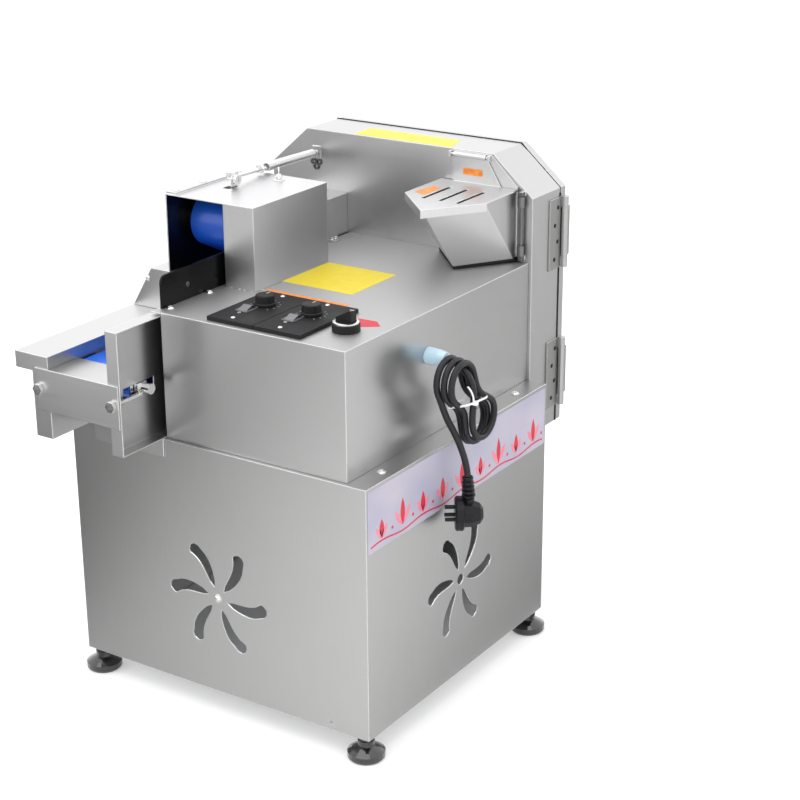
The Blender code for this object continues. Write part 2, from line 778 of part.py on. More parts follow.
def make_cutter_motor():
    """Foot-mounted motor with end bells, and the small pulley on its shaft."""
    front = pulley_y + pulley_width / 2 + 0.010
    bore = motor_shaft_radius + running
    depth = 0.016
    bell = 0.012
    profile = [(0, depth), (bore, depth), (bore, 0), (motor_radius - 0.020, 0),
               (motor_radius - 0.004, 0.006),
               (motor_radius, bell), (motor_radius, motor_length - bell),
               (motor_radius - 0.004, motor_length - 0.006), (motor_radius - 0.020, motor_length),
               (0, motor_length)]
    motor = turned("cutter_motor", profile, (cutter_x, front, motor_z), (0, 1, 0), 28)
    foot = box("motor_foot", (cutter_x - 0.055, front + 0.030, floor_top + gap),
               (cutter_x + 0.055, front + motor_length - 0.030, floor_top + 0.012))
    neck = box("motor_neck", (cutter_x - 0.030, front + 0.040, floor_top + 0.006),
               (cutter_x + 0.030, front + motor_length - 0.040, motor_z - motor_radius + 0.010))
    box_side = box("terminal_box", (cutter_x - 0.030, front + 0.045, motor_z + motor_radius - 0.012),
                   (cutter_x + 0.030, front + 0.110, motor_z + motor_radius + 0.030))
    join(motor, foot, neck, box_side)
    finish(motor, (0.16, 0.22, 0.30), 0.55, 0.2)

    start = pulley_y - pulley_width / 2
    lip = (pulley_width - v_belt_width) / 2 - gap
    floor_radius = driver_radius - groove_depth
    reach = front - start + depth - gap
    profile = [(0, 0), (driver_radius, 0), (driver_radius, lip), (floor_radius, lip),
               (floor_radius, pulley_width - lip), (driver_radius, pulley_width - lip),
               (driver_radius, pulley_width), (motor_shaft_radius, pulley_width),
               (motor_shaft_radius, reach), (0, reach)]
    pulley = turned("motor_pulley", profile, (cutter_x, start, motor_z), (0, 1, 0), 24)
    finish(pulley, (0.50, 0.50, 0.50), 0.4, 1.0)
    return motor, pulley


# Infeed conveyor


def web_slot(name, side):
    """Take-up slot through one channel web, long enough for the slider and its travel."""
    return box(name, (side - 2 * sheet, tail_y - slider_length / 2 - 0.025, roller_axis_z - slot_height / 2),
               (side + 2 * sheet, tail_y + slider_length / 2 + slot_travel + 0.003,
                roller_axis_z + slot_height / 2))


def make_left_guard():
    """Channel with a wide loading shelf folded outwards on top of its web."""
    path = [(shelf_left, shelf_top - shelf_lip), (shelf_left, shelf_top), (trough_left, shelf_top),
            (trough_left, conveyor_bottom), (left_flange_x, conveyor_bottom)]
    guard = prism("left_guard", folded(path, sheet), "Y", conveyor_front, base_depth)
    end = [(left_flange_x, conveyor_bottom), (trough_left, conveyor_bottom), (trough_left, shelf_top),
           (shelf_left, shelf_top), (shelf_left, shelf_top - shelf_lip),
           (left_flange_x, shelf_top - shelf_lip)]
    join(guard, prism("left_guard_end", end, "Y", conveyor_front, conveyor_front + sheet))
    axle = rod("left_axle_hole", (trough_left - 2 * sheet, drive_y, roller_axis_z),
               (trough_left + sheet, drive_y, roller_axis_z), axle_radius + running)
    bolt = rod("left_bolt_hole", (left_bolt_x, conveyor_front - sheet, bolt_z),
               (left_bolt_x, conveyor_front + 2 * sheet, bolt_z), bolt_radius + running)
    cut(guard, web_slot("left_slot", trough_left), axle, bolt)
    stainless(guard)
    return guard


def make_right_guard():
    """Tall channel, open towards the housing, that walls the trough on the right."""
    tip = trough_right + channel_flange
    path = [(tip, conveyor_bottom), (trough_right, conveyor_bottom), (trough_right, right_guard_top),
            (tip, right_guard_top)]
    guard = prism("right_guard", folded(path, sheet), "Y", conveyor_front, base_depth)
    join(guard, box("right_guard_end", (trough_right, conveyor_front, conveyor_bottom),
                    (tip, conveyor_front + sheet, right_guard_top)),
         box("conveyor_hook", (hook_left, -gap - sheet, base_top - hook_drop),
             (tip, -gap, conveyor_bottom + sheet)))
    axle = rod("right_axle_hole", (trough_right - sheet, drive_y, roller_axis_z),
               (trough_right + 2 * sheet, drive_y, roller_axis_z), axle_radius + sheet)
    bolt = rod("right_bolt_hole", (right_bolt_x, conveyor_front - sheet, bolt_z),
               (right_bolt_x, conveyor_front + 2 * sheet, bolt_z), bolt_radius + running)
    cut(guard, web_slot("right_slot", trough_right), axle, bolt)
    stainless(guard)
    return guard


def make_front_plate():
    """Cross plate over both channel ends, folded back between them as an apron above the tail roller."""
    rear = conveyor_front - gap
    plate = box("conveyor_front_plate", (front_plate_left, rear - sheet, front_plate_low),
                (front_plate_left + front_plate_width, rear, apron_top))
    apron = [(rear - sheet, apron_top - 0.010), (rear - sheet, apron_top), (apron_rear, apron_top)]
    join(plate, prism("apron", folded(apron, sheet), "X", trough_left + gap, trough_right - gap))
    for name, x in (("plate_hole_left", left_bolt_x), ("plate_hole_right", right_bolt_x)):
        cut(plate, rod(name, (x, rear - 2 * sheet, bolt_z), (x, rear + sheet, bolt_z),
                       bolt_radius + running))
    stainless(plate)
    return plate


def make_bed():
    """Folded plate that the upper run of the belt slides on."""
    top = roller_axis_z + belt_inner - gap
    leg = 0.012
    left = trough_left + gap
    right = trough_right - gap
    path = [(left, top - leg), (left, top), (right, top), (right, top - leg)]
    start = tail_y + slot_travel + belt_outer + 0.002
    bed = prism("conveyor_bed", folded(path, sheet), "Y", start, drive_y - belt_outer - 0.002)
    stainless(bed)
    return bed


def make_belt():
    first = (tail_y, roller_axis_z)
    second = (drive_y, roller_axis_z)
    outer = belt_loop(first, belt_outer, second, belt_outer, 12)
    inner = belt_loop(first, belt_inner, second, belt_inner, 12)
    middle = trough_left + trough_width / 2
    belt = band("conveyor_belt", outer, inner, "X", middle - belt_width / 2, middle + belt_width / 2)
    plastic(belt, (0.02, 0.12, 0.55), 0.4)
    return belt


def make_tail_roller():
    """Idle roller on a fixed axle whose sliders run in the web slots."""
    middle = trough_left + trough_width / 2
    start = middle - roller_length / 2
    profile = [(axle_radius + running, 0), (roller_radius, 0), (roller_radius, roller_length),
               (axle_radius + running, roller_length)]
    roller = turned("tail_roller", profile, (start, tail_y, roller_axis_z), (1, 0, 0), 24)
    finish(roller, (0.65, 0.65, 0.65), 0.3, 1.0)

    head = 0.0055
    axle_left = trough_left - channel_flange
    axle_right = trough_right + channel_flange
    length = axle_right - axle_left
    ends = [(0, 0), (axle_radius + 0.001, 0), (axle_radius + 0.001, head), (axle_radius, head),
            (axle_radius, length - head), (axle_radius + 0.001, length - head),
            (axle_radius + 0.001, length), (0, length)]
    axle = turned("take_up_axle", ends, (axle_left, tail_y, roller_axis_z), (1, 0, 0), 16)
    half = slot_height / 2 - running
    for name, low, high in (("slider_left", trough_left - 0.0035, trough_left + 0.002),
                            ("slider_right", trough_right - 0.002, trough_right + 0.0035)):
        join(axle, box(name, (low, tail_y - slider_length / 2, roller_axis_z - half),
                       (high, tail_y + slider_length / 2, roller_axis_z + half)))
    finish(axle, (0.75, 0.75, 0.75), 0.3, 1.0)
    return roller, axle


def make_bolt(name, x):
    """Tension bolt from the cross plate back to the axle."""
    plate_face = conveyor_front - 2 * gap - sheet
    clear = math.sqrt((axle_radius + 0.001) ** 2 - (roller_axis_z - bolt_z - bolt_radius) ** 2) + running
    bolt = rod(name, (x, plate_face - bolt_head, bolt_z), (x, plate_face, bolt_z), bolt_head_radius, 6)
    shank = rod(name + "_shank", (x, plate_face - bolt_head / 2, bolt_z), (x, tail_y - clear, bolt_z),
                bolt_radius, 12)
    join(bolt, shank)
    finish(bolt, (0.70, 0.70, 0.70), 0.25, 1.0)
    return bolt


def make_drive_roller():
    middle = trough_left + trough_width / 2
    left = trough_left - 0.012
    start = middle - roller_length / 2 - left
    length = gearbox_right - 0.004 - left
    profile = [(0, 0), (axle_radius, 0), (axle_radius, start), (roller_radius, start),
               (roller_radius, start + roller_length), (axle_radius, start + roller_length),
               (axle_radius, length), (0, length)]
    roller = turned("drive_roller", profile, (left, drive_y, roller_axis_z), (1, 0, 0), 24)
    finish(roller, (0.65, 0.65, 0.65), 0.3, 1.0)
    return roller


def make_gearmotor():
    """Worm gearbox on the housing wall with its small motor lying along the trough."""
    left = housing_left + sheet + gap
    half = gearbox_half
    gearbox = box("conveyor_gearmotor", (left, drive_y - half, roller_axis_z - 0.045),
                  (gearbox_right, drive_y + half, roller_axis_z + 0.026))
    motor_x = left + gearmotor_radius + 0.003
    motor_axis_z = roller_axis_z - 0.024
    motor = rod("gearmotor_can", (motor_x, pulley_y + 0.025, motor_axis_z),
                (motor_x, drive_y - half + 0.004, motor_axis_z), gearmotor_radius, 24)
    join(gearbox, motor)
    cut(gearbox, rod("gearbox_bore", (left - sheet, drive_y, roller_axis_z),
                     (gearbox_right + sheet, drive_y, roller_axis_z), axle_radius + running))
    finish(gearbox, (0.30, 0.31, 0.33), 0.5, 0.4)
    return gearbox


# Press section


def make_side_plates():
    """Black side plates of the throat; the right one carries the press shaft."""
    low = deck_z + gap
    ear = 0.020
    front = side_plate_front
    face = side_plate_right_face
    side_plate_x = face - side_plate_thickness
    outline = [(front, low), (cover_rear - sheet - gap, low), (cover_rear - sheet - gap, side_plate_top),
               (press_y + ear, side_plate_top)]
    outline += arc((press_y, press_z), ear, 0, 180, 8)
    outline += [(press_y - ear, side_plate_top)]
    outline += arc((front + 0.010, side_plate_top - 0.010), 0.010, 90, 180, 4)
    right = prism("side_plate_right", outline, "X", side_plate_x, face)
    cut(right, rod("press_shaft_bore", (side_plate_x - sheet, press_y, press_z),
                   (face + sheet, press_y, press_z), axle_radius + running))
    plastic(right, (0.012, 0.012, 0.013), 0.3)
    bottom = belt_top + 0.004
    outline = [(shelf_end + 0.004, bottom), (base_depth, bottom), (base_depth, deck_z),
               (shelf_end + 0.004, deck_z)]
    left = prism("side_plate_left", outline, "X", left_plate_x, left_plate_x + left_plate_thickness)
    plastic(left, (0.012, 0.012, 0.013), 0.3)
    return right, left


def make_side_cover():
    """Sloping cover beside the press section, closed in front, standing on the loading shelf."""
    foot = shelf_top + gap
    slope_foot = shelf_left + 0.002
    slope_head = shelf_left + 0.036
    edge = left_plate_x - gap
    path = [(slope_foot, foot + 0.6 * sheet), (slope_head, deck_z), (edge, deck_z)]
    cover = prism("side_cover", folded(path, sheet), "Y", shelf_end, base_depth)
    front = [(slope_foot, foot), (edge, foot), (edge, deck_z), (slope_head, deck_z)]
    join(cover, prism("side_cover_front", front, "Y", shelf_end, shelf_end + sheet))
    stainless(cover)
    return cover


def make_roller_cover():
    """Box over the press roller: window in front, open below and towards the feed duct."""
    low = deck_z + gap
    cover = box("roller_cover", (cover_left, cover_front, low), (cover_right, cover_rear, cover_top))
    bar = box("cover_bar", (cover_left, cover_front + 0.002, cover_top - sheet / 2),
              (cover_left + 0.016, cover_rear - 0.020, cover_top + 0.003))
    join(cover, bar)
    room = box("cover_room", (cover_left + sheet, cover_front + sheet, low - sheet),
               (cover_right - sheet, cover_rear - sheet, cover_top - sheet))
    window = box("cover_window", (cover_left + sheet, cover_front - sheet, low - sheet),
                 (cover_window_right, cover_front + 2 * sheet, cover_top - sheet))
    rear = box("cover_rear_way", (cover_left + sheet, cover_rear - 2 * sheet, low - sheet),
               (duct_right - sheet, cover_rear + sheet, duct_top - sheet))
    slot = box("lever_slot", (lug_x - neck_width / 2 - 0.002, press_y - 0.005, cover_top - 2 * sheet),
               (lug_x + neck_width / 2 + 0.002, press_y + 0.0160, cover_top + sheet))
    bore = rod("cover_shaft_hole", (cover_left - sheet, press_y, press_z),
               (cover_left + 2 * sheet, press_y, press_z), axle_radius + running)
    cut(cover, room, window, rear, slot, bore)
    stainless(cover)
    return cover


def make_feed_duct():
    """Inverted U from the roller cover to the feed port, with one screw foot on the deck."""
    path = [(duct_left, deck_z + gap), (duct_left, duct_top), (duct_right, duct_top),
            (duct_right, right_guard_top + gap)]
    duct = prism("feed_duct", folded(path, sheet), "Y", cover_rear + gap, base_depth)
    join(duct, box("duct_foot", (duct_right - sheet / 2, duct_foot_y, deck_z + gap),
                   (duct_right + 0.016, duct_foot_y + 0.016, deck_z + gap + sheet)))
    stainless(duct)
    return duct


def make_press_rollers():
    """Front press roller on its driven shaft, and the small rear one in the arm."""
    left = cover_left + 0.0004
    ring_start = press_left - 0.0065 - left
    drum = press_left - left
    drum_end = drum + press_belt_width + 0.0015
    sprocket = 0.103
    length = 0.128
    profile = [(0, 0), (axle_radius, 0), (axle_radius, ring_start), (0.024, ring_start),
               (0.024, drum - 0.001), (press_radius, drum - 0.001), (press_radius, drum_end),
               (axle_radius, drum_end), (axle_radius, sprocket), (0.018, sprocket),
               (0.018, sprocket + 0.006), (axle_radius, sprocket + 0.006), (axle_radius, length),
               (0, length)]
    front = turned("press_roller_front", profile, (left, press_y, press_z), (1, 0, 0), 32)
    finish(front, (0.70, 0.70, 0.68), 0.35, 0.8)

    start = arm_left
    end = arm_right + arm_thickness
    drum = press_left - 0.001 - start
    drum_end = drum + press_belt_width + 0.0025
    profile = [(0, 0), (rear_axle_radius, 0), (rear_axle_radius, drum), (press_rear_radius, drum),
               (press_rear_radius, drum_end), (rear_axle_radius, drum_end),
               (rear_axle_radius, end - start), (0, end - start)]
    rear = turned("press_roller_rear", profile, (start, press_rear_y, press_rear_z), (1, 0, 0), 24)
    finish(rear, (0.70, 0.70, 0.68), 0.35, 0.8)
    return front, rear


def make_press_belt():
    first = (press_y, press_z)
    second = (press_rear_y, press_rear_z)
    near = press_radius + gap
    far = press_rear_radius + gap
    outer = belt_loop(first, near + press_belt_thickness, second, far + press_belt_thickness, 16)
    inner = belt_loop(first, near, second, far, 16)
    belt = band("press_belt", outer, inner, "X", press_left, press_left + press_belt_width)
    plastic(belt, (0.01, 0.07, 0.38), 0.4)
    return belt


def spring_line(share):
    """Point on the straight line from the lever lug to the anchor on the casing."""
    start = Vector((lug_x, lug_rear, lug_z))
    return start.lerp(Vector(anchor_end), share)


def make_press_arm():
    """Two arm plates tied by a cross bar, with the spring lever through the cover."""
    outline = belt_loop((press_y, press_z), 0.018, (press_rear_y, press_rear_z), 0.011, 10)
    low = press_z + bar_low
    high = press_z + bar_high
    front = press_y - 0.002
    back = press_y + 0.014
    arm = prism("press_arm", outline, "X", arm_left, arm_left + arm_thickness)
    far = prism("press_arm_far", outline, "X", arm_right, arm_right + arm_thickness)
    posts = [box(f"press_post_{i}", (x, front, press_z + 0.008), (x + arm_thickness, back, high))
             for i, x in enumerate((arm_left, arm_right))]
    bar = box("press_cross_bar", (arm_left, front, low), (arm_right + arm_thickness, back, high))
    neck = box("press_neck", (lug_x - neck_width / 2, press_y + 0.002, low + sheet),
               (lug_x + neck_width / 2, back, lug_z))
    lug = box("press_lug", (lug_x - lug_width / 2, press_y + 0.003, cover_top + 0.002),
              (lug_x + lug_width / 2, lug_rear, lug_z + 0.007))
    join(arm, posts[0], bar, posts[1], far, neck, lug)
    eye = rod("eye_rod", spring_line(-0.05), spring_line(eye_share), 0.003, 12)
    nut = rod("eye_nut", spring_line(eye_share - 0.05), spring_line(eye_share - 0.02), 0.0065, 6)
    join(arm, eye, nut)
    for x in (arm_left, arm_right):
        cut(arm, rod(f"front_bore_{x:.3f}", (x - sheet, press_y, press_z),
                     (x + arm_thickness + sheet, press_y, press_z),
                     axle_radius + running),
            rod(f"rear_bore_{x:.3f}", (x - sheet, press_rear_y, press_rear_z),
                (x + arm_thickness + sheet, press_rear_y, press_rear_z), rear_axle_radius + running))
    finish(arm, (0.66, 0.66, 0.65), 0.35, 1.0)
    return arm


def make_spring():
    """Close-wound tension spring as the tube of its outer diameter, hooked at both ends."""
    start = spring_line(eye_share) + (spring_line(1) - spring_line(0)).normalized() * gap
    end = spring_line(1) - (spring_line(1) - spring_line(0)).normalized() * gap
    along = end - start
    hook = 0.006
    length = along.length
    profile = [(0, 0), (0.0018, 0), (0.0018, hook), (spring_radius, hook + 0.002),
               (spring_radius, length - hook - 0.002), (0.0018, length - hook), (0.0018, length),
               (0, length)]
    spring = turned("tension_spring", profile, start, along.normalized(), 16)
    finish(spring, (0.80, 0.80, 0.80), 0.25, 1.0)
    return spring


# Controls


def make_panel(name, left):
    """Control plate with the rocker's window."""
    low = deck_z + gap
    plate = box(name, (left, panel_front, low), (left + panel_width, panel_front + panel_length,
                                                 low + panel_thickness))
    x = left + rocker_offset
    window = box(name + "_window", (x - rocker_width / 2 - 0.0005, rocker_y - rocker_length / 2 - 0.001,
                                    low - sheet),
                 (x + rocker_width / 2 + 0.0005, rocker_y + rocker_length / 2 + 0.001,
                  low + 2 * panel_thickness))
    cut(plate, window)
    plastic(plate, (0.025, 0.025, 0.028), 0.5)
    return plate


def make_knob(name, left):
    """Speed knob with a narrower grip and a pointer groove."""
    low = deck_z + gap + panel_thickness + gap
    x = left + knob_offset
    profile = [(0, 0), (knob_radius, 0), (knob_radius, 0.003), (knob_radius - 0.001, 0.004),
               (knob_radius - 0.0015, knob_height - 0.001), (knob_radius - 0.0025, knob_height),
               (0, knob_height)]
    knob = turned(name, profile, (x, knob_y, low), (0, 0, 1), 28)
    cut(knob, box(name + "_pointer", (x - 0.0007, knob_y + 0.002, low + knob_height - 0.001),
                  (x + 0.0007, knob_y + knob_radius, low + knob_height + 0.001)))
    plastic(knob)
    return knob


def make_rocker(name, left):
    """Bat-handled rocker, tipped forwards at rest."""
    x = left + rocker_offset
    pivot = panel_top
    half = rocker_length / 2
    tilt = math.radians(rocker_tilt)
    rocker = []
    for a, b in ((-half, -0.0012), (half, -0.0012), (half, 0.0016), (half * 0.3, 0.0050), (-half, 0.0030)):
        rocker.append((rocker_y + a * math.cos(tilt) - b * math.sin(tilt),
                       pivot + a * math.sin(tilt) + b * math.cos(tilt)))
    switch = prism(name, rocker, "X", x - rocker_width / 2, x + rocker_width / 2)
    finish(switch, (0.55, 0.55, 0.56), 0.3, 0.6)
    return switch


def make_selector():
    """Rotary selector: a fixed collar with a face ring and a wedge-shaped grip."""
    low = deck_z + gap
    rim = [(0, 0), (selector_radius, 0), (selector_radius, selector_collar - 0.001),
           (selector_radius - 0.001, selector_collar), (0, selector_collar)]
    collar = turned("selector_collar", rim, (selector_x, selector_y, low), (0, 0, 1), 28)
    plastic(collar)
    base = low + selector_collar + gap
    disc = selector_radius - 0.005
    knob = turned("selector_knob", [(0, 0), (disc, 0), (disc, 0.002), (0, 0.002)],
                  (selector_x, selector_y, base), (0, 0, 1), 24)
    grip = [(selector_x - 0.0115, base + 0.001), (selector_x + 0.0115, base + 0.001),
            (selector_x + 0.0115, base + 0.0165), (selector_x + 0.0075, base + 0.0165),
            (selector_x - 0.0115, base + 0.006)]
    join(knob, prism("selector_grip", grip, "Y", selector_y - 0.0055, selector_y + 0.0055))
    plastic(knob)
    return collar, knob


# Feed hopper


def loft(name, rings):
    """Closed body through matching rings of points."""
    bm = bmesh.new()
    loops = [[bm.verts.new(point) for point in ring] for ring in rings]
    bm.faces.new(loops[0])
    bm.faces.new(loops[-1])
    count = len(loops[0])
    for lower, upper in zip(loops, loops[1:]):
        for i in range(count):
            j = (i + 1) % count
            bm.faces.new((lower[i], lower[j], upper[j], upper[i]))
    bmesh.ops.triangulate(bm, faces=[face for face in bm.faces if len(face.verts) > 3])
    return made(name, bm)


def at_height(outline, z):
    return [(x, y, z) for x, y in outline]


def hopper_outline(fronts, back):
    left, apex, right = fronts
    return [(hopper_left, back), (hopper_left, left), (hopper_apex_x, apex), (hopper_right, right),
            (hopper_right, back)]


def make_hopper():
    """Wedge-shaped feed shell on a back plate, open above and towards the casing wall."""
    back = wall_y - gap
    plate_front = back - sheet
    seam = plate_front + sheet / 2
    height = hopper_lid_z
    shell = loft("feed_hopper", [at_height(hopper_outline(hopper_foot_y, seam), hopper_bottom_z),
                                 at_height(hopper_outline(hopper_top_y, seam), height)])
    deep = wall_y + sheet
    room_foot = inset(hopper_outline(hopper_foot_y, deep), sheet)
    room_top = inset(hopper_outline(hopper_top_y, deep), sheet)
    cut(shell, loft("hopper_room", [at_height(room_foot, hopper_bottom_z + sheet),
                                    at_height(room_top, height),
                                    at_height(room_top, height + sheet)]))

    side = 0.006
    low = hopper_bottom_z
    frame = [(hopper_left - side, low), (hopper_right + side, low), (hopper_right + side, height),
             (lid_right_top, lid_rod_z + 0.004), (lid_left, lid_rod_z + 0.004), (lid_left, height),
             (hopper_left - side, height)]
    plate = prism("hopper_back", frame, "Y", plate_front, back)
    cut(plate, box("hopper_back_opening", (hopper_left + 0.004, plate_front - sheet, low + 0.006),
                   (hopper_right - 0.004, back + sheet, height - 0.008)))
    ears = [box(f"rod_ear_{i}", (x, lid_rod_y - 0.004, lid_rod_z - 0.004),
                (x + 0.003, seam, lid_rod_z + 0.004))
            for i, x in enumerate((lid_left - 0.001, lid_right_top - 0.002))]
    bar = rod("lid_rod", (lid_left, lid_rod_y, lid_rod_z), (lid_right_top, lid_rod_y, lid_rod_z),
              lid_rod_radius, 12)
    join(shell, plate, *ears, bar)
    pin_x, pin_y = hopper_pin
    for i, z in enumerate((hopper_lug_low + lug_height + gap, hopper_lug_high - gap - hinge_knuckle)):
        knuckle = rod(f"hopper_knuckle_{i}", (pin_x, pin_y, z), (pin_x, pin_y, z + hinge_knuckle), 0.0046,
                      14)
        strap = box(f"hopper_strap_{i}", (hopper_right, pin_y + 0.003, z + 0.0004),
                    (pin_x, back, z + hinge_knuckle - 0.0004))
        join(shell, strap, knuckle)
    cut(shell, rod("hopper_pin_bore", (pin_x, pin_y, low), (pin_x, pin_y, height),
                   hinge_pin_radius + running, 14))
    stainless(shell)
    return shell


def make_hopper_lid():
    """Slotted lid bent up into a back flap that hangs on the rod, with down-turned front edges."""
    low = hopper_lid_z + gap
    high = low + sheet
    back = lid_back
    outline = inset(hopper_outline(hopper_top_y, back - lid_margin), -lid_margin)
    lid = prism("hopper_lid", outline, "Z", low, high)
    skirt = folded(outline[3:0:-1], sheet)
    join(lid, prism("lid_skirt", skirt, "Z", high - lid_flange, high - sheet / 2))
    flap = [(lid_left + 0.004, low), (flap_right, low), (lid_right_top - 0.007, lid_rod_z),
            (lid_left + 0.004, lid_rod_z)]
    join(lid, prism("lid_flap", flap, "Y", back - sheet, back))
    barrel = rod("lid_barrel", (lid_left + 0.006, lid_rod_y, lid_rod_z),
                 (lid_right_top - 0.006, lid_rod_y, lid_rod_z),
                 0.0037, 14)
    join(lid, barrel)
    cut(lid, rod("lid_bore", (lid_left, lid_rod_y, lid_rod_z), (lid_right_top, lid_rod_y, lid_rod_z),
                 lid_rod_radius + running, 14))
    slots = []
    for i in range(3):
        left = lid_slot_first + lid_slot_pitch * i - lid_slot_width / 2
        right = left + lid_slot_width
        rear = lid_slot_front + lid_slot_length
        slots.append([(left, lid_slot_front), (right, lid_slot_front), (right, rear), (left, rear)])
    cut(lid, prisms("lid_slots", slots, "Z", low - sheet, high + sheet))
    stainless(lid)
    return lid


# Cord


def make_gland():
    start = housing_right + gap
    profile = [(0, 0), (0.011, 0), (0.0112, 0.004), (0.0105, 0.018), (0.0088, gland_length),
               (0, gland_length)]
    gland = turned("cable_gland", profile, (start, gland_y, gland_z), (1, 0, 0), 20)
    plastic(gland, (0.62, 0.74, 0.82), 0.4)
    return gland


def make_cord_tube(name, route):
    """Tube along points read from a smooth curve through the route's own points."""
    points = smooth_route([Vector(point) for point in route])
    curve = bpy.data.curves.new(name, "CURVE")
    curve.dimensions = "3D"
    curve.bevel_depth = cord_radius
    curve.bevel_resolution = 2
    curve.use_fill_caps = True
    spline = curve.splines.new("POLY")
    spline.points.add(len(points) - 1)
    for point, target in zip(spline.points, points):
        point.co = (*target, 1)
    cord = bpy.data.objects.new(name, curve)
    bpy.context.collection.objects.link(cord)
    plastic(cord, (0.02, 0.02, 0.022), 0.55)
    return cord


def smooth_route(route, steps=2):
    """Catmull-Rom points through the route."""
    padded = [2 * route[0] - route[1]] + route + [2 * route[-1] - route[-2]]
    points = []
    for a, b, c, d in zip(padded, padded[1:], padded[2:], padded[3:]):
        for i in range(steps):
            t = i / steps
            points.append(0.5 * (2 * b + (c - a) * t + (2 * a - 5 * b + 4 * c - d) * t ** 2
                                 + (3 * b - a - 3 * c + d) * t ** 3))
    points.append(route[-1])
    return points


def make_hank():
    """Outer shape of the folded cord: an outline with round ends, leaning as it hangs."""
    heading = Vector(hank_lean).normalized()
    upper = Vector(hank_centre) - heading * hank_half
    lower = Vector(hank_centre) + heading * hank_half
    angle = math.degrees(math.atan2(heading.y, heading.x))
    outline = arc(lower, hank_radius, angle - 90, angle + 90, 10)
    outline += arc(upper, hank_radius, angle + 90, angle + 270, 10)
    hank = prism("cord_hank", outline, "X", hank_near, hank_far, smooth=True)
    plastic(hank, (0.02, 0.02, 0.022), 0.55)
    return hank


def make_plug():
    """Round plug with its ribbed strain relief and three pins, turned towards the cabinet."""
    face = Vector((-math.sin(plug_turn), -math.cos(plug_turn), 0))
    start = Vector(plug_centre) + face * plug_length / 2
    rim = plug_radius
    disc = [(0, 0), (rim - 0.002, 0), (rim, 0.002), (rim, 0.010), (rim - 0.003, 0.012), (0, 0.012)]
    plug = turned("cord_plug", disc, start, -face, 24)
    shell = [(0, 0.010), (rim - 0.004, 0.010), (rim - 0.005, 0.022), (rim - 0.009, 0.032),
             (rim - 0.015, plug_length), (0, plug_length)]
    join(plug, turned("plug_shell", shell, start, -face, 10), make_relief())
    side = Vector((math.cos(plug_turn), -math.sin(plug_turn), 0))
    for i, (across, up) in enumerate(((0, 0.009), (0.0075, -0.005), (-0.0075, -0.005))):
        root = start + side * across + Vector((0, 0, up))
        join(plug, rod(f"plug_pin_{i}", root - face * 0.002, root + face * 0.013, 0.0026, 6))
    plastic(plug, (0.02, 0.02, 0.022), 0.5)
    return plug


def relief_direction():
    return (Vector(plug_centre) + Vector((0, 0, plug_radius / 2)) - Vector(relief_top)).normalized()


def make_relief():
    """Strain relief that widens towards the plug, with rings round it."""
    top = Vector(relief_top)
    visible = plug_centre[2] + plug_radius
    length = (top.z - visible) / -relief_direction().z
    pitch = length / relief_ribs
    waist = relief_radius - 0.0017
    profile = [(0, 0)]
    for i in range(relief_ribs):
        start = pitch * i
        wide = relief_radius + 0.0004 * i
        profile += [(waist, start), (wide, start + pitch * 0.25), (wide, start + pitch * 0.6),
                    (waist, start + pitch * 0.85)]
    profile += [(relief_radius, length), (relief_radius, length + plug_radius / 2),
                (0, length + plug_radius / 2)]
    return turned("plug_relief", profile, top, relief_direction(), 14)


def make_cords():
    """Straight lead out of the gland, and the free end from the hank down to the plug."""
    lead_start = housing_right + gap + gland_length + gap
    lead_end = hank_near - gap
    lead = make_cord_tube("cord_lead", [(lead_start, gland_y, gland_z),
                                        ((lead_start + lead_end) / 2, gland_y, gland_z),
                                        (lead_end, gland_y, gland_z)])
    heading = Vector(hank_lean).normalized()
    outward = Vector((heading.y, -heading.x))
    lower = Vector(hank_centre) + heading * hank_half
    leave = lower + outward * (hank_radius + 3 * gap) - heading * tail_rise
    bend = leave + outward * 0.008
    middle = (hank_near + hank_far) / 2
    top = Vector(relief_top)
    route = [(middle, leave.x, leave.y), (middle, bend.x, bend.y), (middle, bend.x + 0.0005, bend.y - 0.011),
             (middle + 0.001, bend.x + 0.007, bend.y - 0.032), tuple(top - relief_direction() * 0.016),
             tuple(top - relief_direction() * 0.008), tuple(top - relief_direction() * gap)]
    return lead, make_cord_tube("cord_tail", route)


